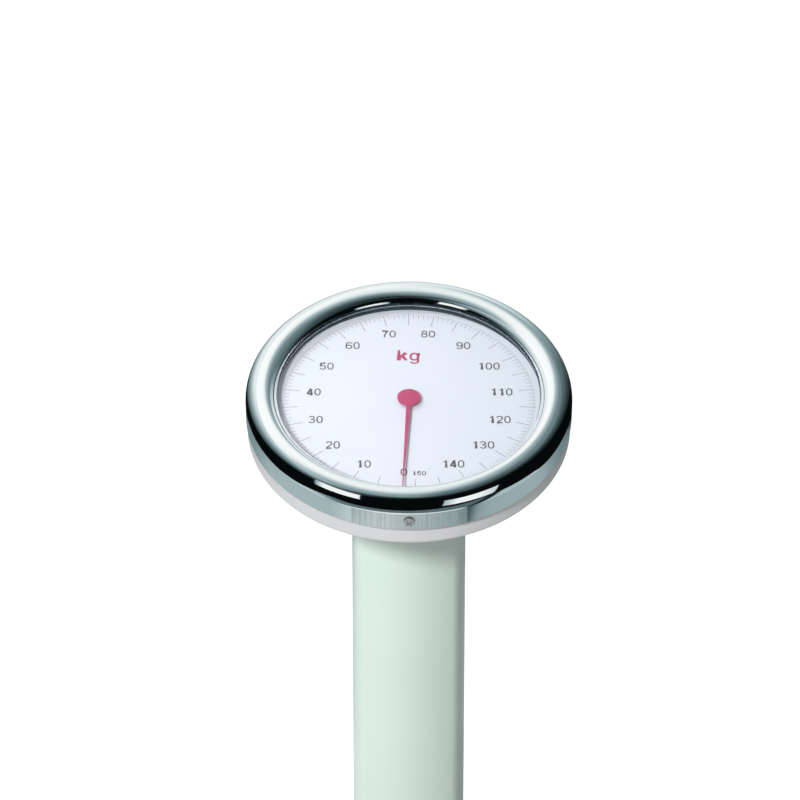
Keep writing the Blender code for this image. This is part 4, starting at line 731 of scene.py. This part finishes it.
# %% The rim screws
SHANK_RADIUS = 0.0019
SHANK_END = 0.1432
PAN_HEAD_SEAT = 0.1503
PAN_HEAD_RADIUS = 0.0050
PAN_HEAD_TOP = 0.1526
SEAT_BEVEL = (0.0001, 0.0002)
SHOULDER = 0.1510
DOME_CENTRE = (0.0034, 0.1509)
DOME_RADIUS = 0.0016
RECESS_LENGTH = 0.0070
RECESS_WIDTH = 0.0015
RECESS_BLOCK = 0.0044
RECESS_MIDDLE = 0.1535
SCREW_HEIGHT = -0.0035
for number, angle in enumerate((-90, 30, 150), 1):
    dome = [(0.0, SHANK_END), (SHANK_RADIUS, SHANK_END), (SHANK_RADIUS, PAN_HEAD_SEAT),
            (PAN_HEAD_RADIUS - SEAT_BEVEL[0], PAN_HEAD_SEAT),
            (PAN_HEAD_RADIUS, PAN_HEAD_SEAT + SEAT_BEVEL[1]), (PAN_HEAD_RADIUS, SHOULDER)]
    dome += arc(DOME_CENTRE, DOME_RADIUS, 0, 90, 8) + [(0.0, PAN_HEAD_TOP)]
    recess = Matrix.Translation((0, 0, RECESS_MIDDLE)) @ Matrix.Rotation(math.radians(45), 4, "Z")
    blocks = []
    for wide, tall in ((RECESS_LENGTH, RECESS_WIDTH), (RECESS_WIDTH, RECESS_LENGTH)):
        block = bmesh.new()
        add_block(block, recess, wide, tall, RECESS_BLOCK)
        blocks.append(block)
    screw = carved(turned(dome, 48, closed=False), *blocks)
    aim = (HEAD @ Matrix.Translation((0, 0, SCREW_HEIGHT))
           @ Matrix.Rotation(math.radians(angle), 4, "Z") @ Matrix.Rotation(math.radians(90), 4, "Y"))
    finish_piece(f"rim_screw_{number}", screw, (SCREW_STEEL,), "frame", f"bezel_screw_{number}",
                 matrix=aim)

# %% [markdown]
# Castings, machined parts and mouldings never end in a knife edge. The solids do, so the larger
# ones are copied, merged and cleared of their loose triangles, and every sharp edge is rounded.
# `softened` does that for any solid and keeps the piece exactly where the solid is.


# %% Softened solids
def softened(name, solid, look, width, segments=2):
    source = nodes[solid]
    bm = bmesh.new()
    bm.from_mesh(source.data)
    bmesh.ops.remove_doubles(bm, verts=bm.verts, dist=1e-6)
    bmesh.ops.dissolve_limit(bm, angle_limit=math.radians(1), verts=bm.verts, edges=bm.edges)
    for face in bm.faces:
        face.material_index = 0
    soften(bm, width, segments)
    finish_piece(name, bm, (look,), source["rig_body"], solid)


softened("base_casting", "base_frame", BASE, 0.0012, 3)
softened("column_shoe", "column_foot", BASE, 0.0012, 3)
for number in range(1, 5):
    softened(f"shoe_bolt_{number}", f"column_bolt_{number}", ZINC, 0.0004)
    softened(f"rubber_foot_{number}", f"foot_pad_{number}", RUBBER, 0.0008)
softened("zero_wheel", "zero_knob", RUBBER, 0.0003)
softened("front_lever", "long_lever", IRON, 0.0008)
softened("back_lever", "short_lever", IRON, 0.0008)

# %% [markdown]
# The platform is a pressed tray turned upside down. It starts as one rounded plate, its edge is
# drawn down to make the skirt, the corner between the two is rounded, and only then does the
# shell get its wall, so that the inside follows the outside. The notch at the back lets the
# lever's beam through.

# %% The platform
PLATE_CORNER = 0.028
PLATE_ROUND = 0.0028
PLATE_SHEET = 0.003
NOTCH_WIDTH = 0.020
NOTCH_HEIGHT = 0.028
NOTCH_MIDDLE = 0.048
plate_low, plate_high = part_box("platform_plate")
plate_middle = (plate_low.y + plate_high.y) / 2
plate_width = plate_high.x - plate_low.x
plate_depth = plate_high.y - plate_low.y
shell = rounded_plate(plate_width, plate_depth, PLATE_CORNER, plate_middle, 14)
bmesh.ops.translate(shell, vec=(0, 0, plate_high.z), verts=shell.verts)
drawn = bmesh.ops.extrude_edge_only(shell, edges=shell.edges[:])
skirt = only(bmesh.types.BMVert, drawn["geom"])
bmesh.ops.translate(shell, vec=(0, 0, plate_low.z - plate_high.z), verts=skirt)
bmesh.ops.recalc_face_normals(shell, faces=shell.faces)
soften(shell, PLATE_ROUND, 5, 60)
bmesh.ops.solidify(shell, geom=shell.faces[:], thickness=PLATE_SHEET)
notch = bmesh.new()
add_block(notch, Matrix.Translation((0, plate_high.y, NOTCH_MIDDLE)), NOTCH_WIDTH, NOTCH_WIDTH,
          NOTCH_HEIGHT)
finish_piece("platform_pressing", carved(shell, notch), (BASE,), "platform", "platform_plate")

# %% [markdown]
# The mat is a rubber sheet with ribs that run from front to back. Its section is drawn once,
# right across, as a comb, then drawn out along the platform, and the ribs' corners are rounded
# as a moulding's are.

# %% The ribbed mat
mat_low, mat_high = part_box("platform_mat")
RIB_PITCH = 0.0098
GROOVE = 0.0030
GROOVE_DEPTH = 0.0015
RIB_ROUND = 0.0004
LONG_EDGE = 0.2
SOLE = 0.0005
half_mat = (mat_high.x - mat_low.x) / 2
ribs = int(2 * half_mat / RIB_PITCH)
comb = [(-half_mat, mat_low.z), (-half_mat, mat_high.z)]
for rib in range(ribs):
    groove_x = (rib + 0.5 - ribs / 2) * RIB_PITCH
    comb += [(groove_x - GROOVE / 2, mat_high.z), (groove_x - GROOVE / 2, mat_high.z - GROOVE_DEPTH),
             (groove_x + GROOVE / 2, mat_high.z - GROOVE_DEPTH), (groove_x + GROOVE / 2, mat_high.z)]
comb += [(half_mat, mat_high.z), (half_mat, mat_low.z)]
mat = bmesh.new()
section = mat.faces.new([mat.verts.new((x, mat_low.y, z)) for x, z in comb])
pulled = bmesh.ops.extrude_face_region(mat, geom=[section])
far_end = only(bmesh.types.BMVert, pulled["geom"])
bmesh.ops.translate(mat, vec=(0, mat_high.y - mat_low.y, 0), verts=far_end)
bmesh.ops.recalc_face_normals(mat, faces=mat.faces)
along = [edge for edge in mat.edges
         if edge.calc_length() > LONG_EDGE and edge.verts[0].co.z > mat_low.z + SOLE]
round_edges(mat, along, RIB_ROUND, 2)
finish_piece("ribbed_mat", mat, (MAT,), "platform", "platform_mat")
print("ribs", ribs)

# %% [markdown]
# What is left are solids whose shape is already right: knives, bearings, the movement and its
# spring, the rubber seal and the enamelled dial. They keep their meshes, and each gets the finish
# of what it is made of.

# %% Finishes for the solids that stay
kept = {
    ZINC: ["long_fulcrum_knife", "long_load_knife", "short_fulcrum_knife_left",
           "short_fulcrum_knife_right", "short_load_knife_left", "short_load_knife_right",
           "lever_link", "draft_rod", "main_spring", "zero_shaft", "head_bracket", "shaft_bush_lower",
           "shaft_bush_upper", "rack_guide", "bell_crank", "crank_pin"]
          + [f"{kind}_{number}" for kind in ("foot_screw", "fulcrum_bearing", "platform_saddle")
             for number in range(1, 5)],
    BRASS: ["damper_cylinder", "damper_piston", "movement_plate", "movement_bridge", "pinion_shaft",
            "rack"],
    RUBBER: ["window_seal"],
    DIAL: ["dial_plate"],
}
for look, names in kept.items():
    for name in names:
        nodes[name].data.materials.clear()
        nodes[name].data.materials.append(look)
print("solids kept", sum(len(names) for names in kept.values()))

# %% [markdown]
# The camera stands about where the photographer's did: straight in front, looking down by 24.2
# degrees, far enough away for a long lens. The dial's centre lies just right of the middle of
# the picture.

# %% The camera
PITCH = math.radians(24.2)
DISTANCE = 3.49
SIDE_SHIFT = Vector((-0.0082, 0, 0))
UP_SHIFT = 0.0012
centre = Vector((0, COLUMN_Y, DIAL_HEIGHT))
back = Vector((0, -math.cos(PITCH), math.sin(PITCH)))
up = Vector((0, math.sin(PITCH), math.cos(PITCH)))
lens = bpy.data.cameras.new("camera")
lens.lens = 170.9
lens.sensor_width = 36
lens.clip_end = 60
camera = added("camera", lens)
camera.location = centre + back * DISTANCE + SIDE_SHIFT + up * UP_SHIFT
camera.rotation_euler = (math.radians(90) - PITCH, 0, 0)
bpy.context.scene.camera = camera
print("camera", [round(v, 3) for v in camera.location])

# %% [markdown]
# The floor is one wide pale sheet. The camera sees it brighter than the lamps make it, so that
# it reads as a white background and still keeps the object's shadow.


# %% The floor
def staged(name, bm, look):
    """A part of the stage: seen or mirrored in the picture, and no part of the object."""
    mesh = mesh_from(bm, name)
    mesh.materials.append(look)
    thing = added(name, mesh)
    return thing


pale, pale_tree = new_look("pale floor")
paint = pale_tree.nodes["Principled BSDF"]
paint.inputs["Base Color"].default_value = (0.82, 0.82, 0.82, 1)
paint.inputs["Roughness"].default_value = 0.9
glow = pale_tree.nodes.new("ShaderNodeEmission")
eye = pale_tree.nodes.new("ShaderNodeLightPath")
lift = maths(pale_tree, "MULTIPLY", eye.outputs["Is Camera Ray"], 0.72)
pale_tree.links.new(lift, glow.inputs["Strength"])
both = pale_tree.nodes.new("ShaderNodeAddShader")
pale_tree.links.new(paint.outputs["BSDF"], both.inputs[0])
pale_tree.links.new(glow.outputs["Emission"], both.inputs[1])
pale_tree.links.new(both.outputs["Shader"], pale_tree.nodes["Material Output"].inputs["Surface"])
floor = bmesh.new()
bmesh.ops.create_grid(floor, x_segments=1, y_segments=1, size=20)
ground = staged("floor", floor, pale)
ground.visible_glossy = False

# %% [markdown]
# The world is an even white. The camera, the glass and reflections see it at its full level, and
# diffuse light gets about a third of it, so that the lamps still shape the column.

# %% The world
world = bpy.data.worlds.new("studio")
bpy.context.scene.world = world
world.use_nodes = True
sky = world.node_tree
background = sky.nodes["Background"]
background.inputs["Color"].default_value = (1, 1, 1, 1)
rays = sky.nodes.new("ShaderNodeLightPath")
seen = maths(sky, "MAXIMUM", rays.outputs["Is Camera Ray"], rays.outputs["Is Transmission Ray"])
seen_or_mirrored = maths(sky, "MAXIMUM", seen, rays.outputs["Is Glossy Ray"])
level = sky.nodes.new("ShaderNodeMapRange")
level.inputs["To Min"].default_value = 0.32
level.inputs["To Max"].default_value = 1.0
sky.links.new(seen_or_mirrored, level.inputs["Value"])
sky.links.new(level.outputs["Result"], background.inputs["Strength"])

# %% [markdown]
# Polished metal shows the room, so the room has to be built. In the photograph the rim mirrors a
# dark band all round, with a soft box on either side of the front, a canopy above that is white
# at the back and on the left and falls off to the front and to the right, and a pale table
# below. Each is a sheet that glows by a ramp of brightness. Only reflections show these sheets,
# those in the gloss of the paint too, and they add nothing to its diffuse light. Dim parts are
# blue-green, as in the photograph, and bright parts are white.


# %% Tools for the reflection room
def seen_by_mirrors_only(thing):
    thing.visible_camera = False
    thing.visible_diffuse = False
    thing.visible_shadow = False
    thing.visible_transmission = False
    thing.visible_volume_scatter = False


def graded(tree, value, stops, interpolation="LINEAR"):
    """A value looked up in (place, brightness) stops."""
    first, last = stops[0][0], stops[-1][0]
    ramp = tree.nodes.new("ShaderNodeValToRGB")
    bands = ramp.color_ramp
    bands.interpolation = interpolation
    for number, (place, bright) in enumerate(stops):
        share = (place - first) / (last - first)
        band = bands.elements[number] if number < 2 else bands.elements.new(share)
        band.position = share
        band.color = (bright, bright, bright, 1)
    run = maths(tree, "MULTIPLY_ADD", value, 1 / (last - first), -first / (last - first))
    tree.links.new(run, ramp.inputs["Fac"])
    return ramp.outputs["Color"]


def glowing(name):
    """A new emission material with its tree and the places X, Y and Z measured from the column."""
    look, tree = new_look(name)
    tree.nodes.remove(tree.nodes["Principled BSDF"])
    spot = tree.nodes.new("ShaderNodeTexCoord")
    parts = tree.nodes.new("ShaderNodeSeparateXYZ")
    tree.links.new(spot.outputs["Object"], parts.inputs["Vector"])
    from_column = maths(tree, "SUBTRACT", parts.outputs["Y"], COLUMN_Y)
    return look, tree, parts.outputs["X"], from_column, parts.outputs["Z"]


def lit_by(look, level):
    """Finish a glowing material with its brightness, tinted where it is dim."""
    tree = look.node_tree
    tint = tree.nodes.new("ShaderNodeMix")
    tint.data_type = "RGBA"
    tint.inputs["A"].default_value = (0.62, 1.0, 1.10, 1)
    tint.inputs["B"].default_value = (0.98, 1.0, 1.0, 1)
    tree.links.new(level, tint.inputs["Factor"])
    shine = tree.nodes.new("ShaderNodeEmission")
    tree.links.new(tint.outputs["Result"], shine.inputs["Color"])
    tree.links.new(level, shine.inputs["Strength"])
    tree.links.new(shine.outputs["Emission"], tree.nodes["Material Output"].inputs["Surface"])


# %% The canopy and the table
TUBE_RADIUS = 0.34
TUBE_LOW = 0.40
TUBE_TOP = 1.20
CANOPY_HEIGHT = 1.55
CANOPY_RADIUS = 1.0
TABLE_HALF = 1.2
TABLE_HEIGHT = -0.02
canopy_look, tree, x, y, _ = glowing("canopy")
fore_and_aft = graded(tree, y, ((-1.0, 0.0), (-0.84, 0.03), (-0.75, 0.08), (-0.55, 0.20),
                                (-0.43, 0.29), (-0.30, 0.36), (-0.18, 0.52), (-0.02, 0.86),
                                (0.12, 0.94), (0.40, 0.97), (1.0, 0.95)))
across = graded(tree, x, ((-1.0, 1.16), (-0.14, 1.10), (-0.03, 1.04), (0.03, 0.92), (0.08, 0.68),
                          (0.14, 0.50), (0.24, 0.40), (0.34, 0.26), (0.57, 0.24), (1.0, 0.13)))
lit_by(canopy_look, maths(tree, "MULTIPLY", fore_and_aft, across))
canopy = bmesh.new()
bmesh.ops.create_circle(canopy, cap_ends=True, segments=96, radius=CANOPY_RADIUS,
                        matrix=Matrix.Translation((0, COLUMN_Y, CANOPY_HEIGHT)))
seen_by_mirrors_only(staged("canopy", canopy, canopy_look))

table_look, tree, x, _, _ = glowing("table")
lit_by(table_look, graded(tree, x, ((-1.2, 1.0), (-0.2, 0.95), (0.1, 0.80), (0.3, 0.45), (0.7, 0.25),
                                    (1.2, 0.20))))
table = bmesh.new()
bmesh.ops.create_grid(table, x_segments=1, y_segments=1, size=TABLE_HALF,
                      matrix=Matrix.Translation((0, COLUMN_Y, TABLE_HEIGHT)))
seen_by_mirrors_only(staged("table", table, table_look))

# %% [markdown]
# The dark band is a tube that stands round the head. Above a line it grows bright over 0.2 m.
# Both the line's height and the tone follow the direction, in degrees right of the front: left
# is bright, right is dim, and the back is white, with the line at its lowest. Below the hem line
# the tube is pale again, and mostly paler still lower down, but for a dark gap right of the
# front: that is what the skirt shows. The soft boxes are two windows in it.

# %% The tube
FADE = 5.0
DEEP_LINE = 0.58
WINDOW_HALF = 0.062
DARKEST = 0.003
tube_look, tree, x, y, z = glowing("tube")
forward = maths(tree, "MULTIPLY", y, -1.0)
turn = maths(tree, "MULTIPLY", maths(tree, "ARCTAN2", x, forward), 360 / math.tau)
tone = graded(tree, turn, ((-180, 0.90), (-120, 0.92), (-97, 0.72), (-75, 0.62), (-45, 0.62),
                           (-25, 0.22), (-8, 0.10), (60, 0.10), (95, 0.15), (112, 0.15),
                           (128, 0.17), (142, 0.36), (152, 0.66), (162, 0.85), (180, 0.90)))
line = graded(tree, turn, ((-180, 0.85), (-155, 0.84), (-140, 0.84), (-110, 0.90), (-80, 0.94),
                           (-50, 1.00), (-20, 1.05), (0, 1.10), (50, 1.08), (100, 0.97), (120, 0.90),
                           (132, 0.84), (180, 0.85)))
risen = maths(tree, "MULTIPLY", maths(tree, "SUBTRACT", z, line), FADE)
fade = maths(tree, "MINIMUM", maths(tree, "MAXIMUM", risen, 0.0), 1.0)
above = maths(tree, "MULTIPLY", fade, tone)
hem_tone = graded(tree, turn, ((-180, 0.40), (-150, 0.30), (-125, 0.34), (-104, 0.60), (-62, 0.62),
                               (-46, 0.18), (40, 0.14), (44, 0.01), (50, 0.01), (54, 0.52),
                               (100, 0.52), (118, 0.30), (150, 0.22), (180, 0.40)))
hem_line = graded(tree, turn, ((-180, 0.765), (-131, 0.764), (-121, 0.752), (-111, 0.735),
                               (-102, 0.718), (-93, 0.700), (-75, 0.705), (-57, 0.740),
                               (-43, 0.770), (-32, 0.734), (0, 0.731), (31, 0.768), (42, 0.790),
                               (68, 0.773), (79, 0.763), (92, 0.715), (102, 0.716), (111, 0.735),
                               (120, 0.752), (180, 0.765)))
below = maths(tree, "MULTIPLY", maths(tree, "LESS_THAN", z, hem_line), hem_tone)
deep_tone = graded(tree, turn, ((-180, 0.60), (-62, 0.62), (-48, 0.80), (-8, 0.95), (10, 0.76),
                                (40, 0.76), (43, 0.02), (47, 0.02), (54, 0.52), (100, 0.52),
                                (180, 0.60)))
deep = maths(tree, "MULTIPLY", maths(tree, "LESS_THAN", z, DEEP_LINE), deep_tone)
box_height = graded(tree, turn, ((-180, 0.0), (-48.5, 0.972), (-25, 0.0), (16.5, 0.878),
                                 (44, 0.0), (180, 0.0)), "CONSTANT")
box_tone = graded(tree, turn, ((-180, 0.30), (-48, 0.30), (-43, 1.0), (-25, 1.0), (16.5, 0.45),
                               (24, 1.0), (36, 0.95), (44, 0.70), (180, 0.70)))
box_offset = maths(tree, "ABSOLUTE", maths(tree, "SUBTRACT", z, box_height))
box = maths(tree, "MULTIPLY", maths(tree, "LESS_THAN", box_offset, WINDOW_HALF), box_tone)
low_band = maths(tree, "MAXIMUM", below, deep)
band = maths(tree, "MAXIMUM", maths(tree, "MAXIMUM", above, low_band), box)
lit_by(tube_look, maths(tree, "ADD", band, DARKEST))
around = bmesh.new()
bmesh.ops.create_cone(around, cap_ends=False, segments=96, radius1=TUBE_RADIUS, radius2=TUBE_RADIUS,
                      depth=TUBE_TOP - TUBE_LOW,
                      matrix=Matrix.Translation((0, COLUMN_Y, (TUBE_TOP + TUBE_LOW) / 2)))
seen_by_mirrors_only(staged("tube", around, tube_look))

# %% [markdown]
# Two lamps light the paint, beside the world. The main one stands in front on the left, above
# the head, so the column's face is bright on that side and the head throws its shadow down it to
# the right. The key hangs over the head on the left: it makes the dial brighter on that side and
# throws the pointer's shadow to the right.


# %% The lamps
def lamp(name, place, aim, size, power):
    light = bpy.data.lights.new(name, "AREA")
    light.shape = "DISK"
    light.size = size
    light.energy = power
    thing = added(name, light)
    thing.location = place
    thing.rotation_euler = (Vector(aim) - Vector(place)).to_track_quat("-Z", "Y").to_euler()
    thing.visible_glossy = False


lamp("main", (-0.90, -1.94, 2.18), (0, 0.06, 0.78), 0.45, 50)
lamp("key", (-0.44, 0.17, 1.64), (0, 0.10, 0.905), 0.36, 3.0)

# %% [markdown]
# The view is left plain, so that each colour is rendered as it is written.

# %% Finish
bpy.context.scene.view_settings.view_transform = "Standard"
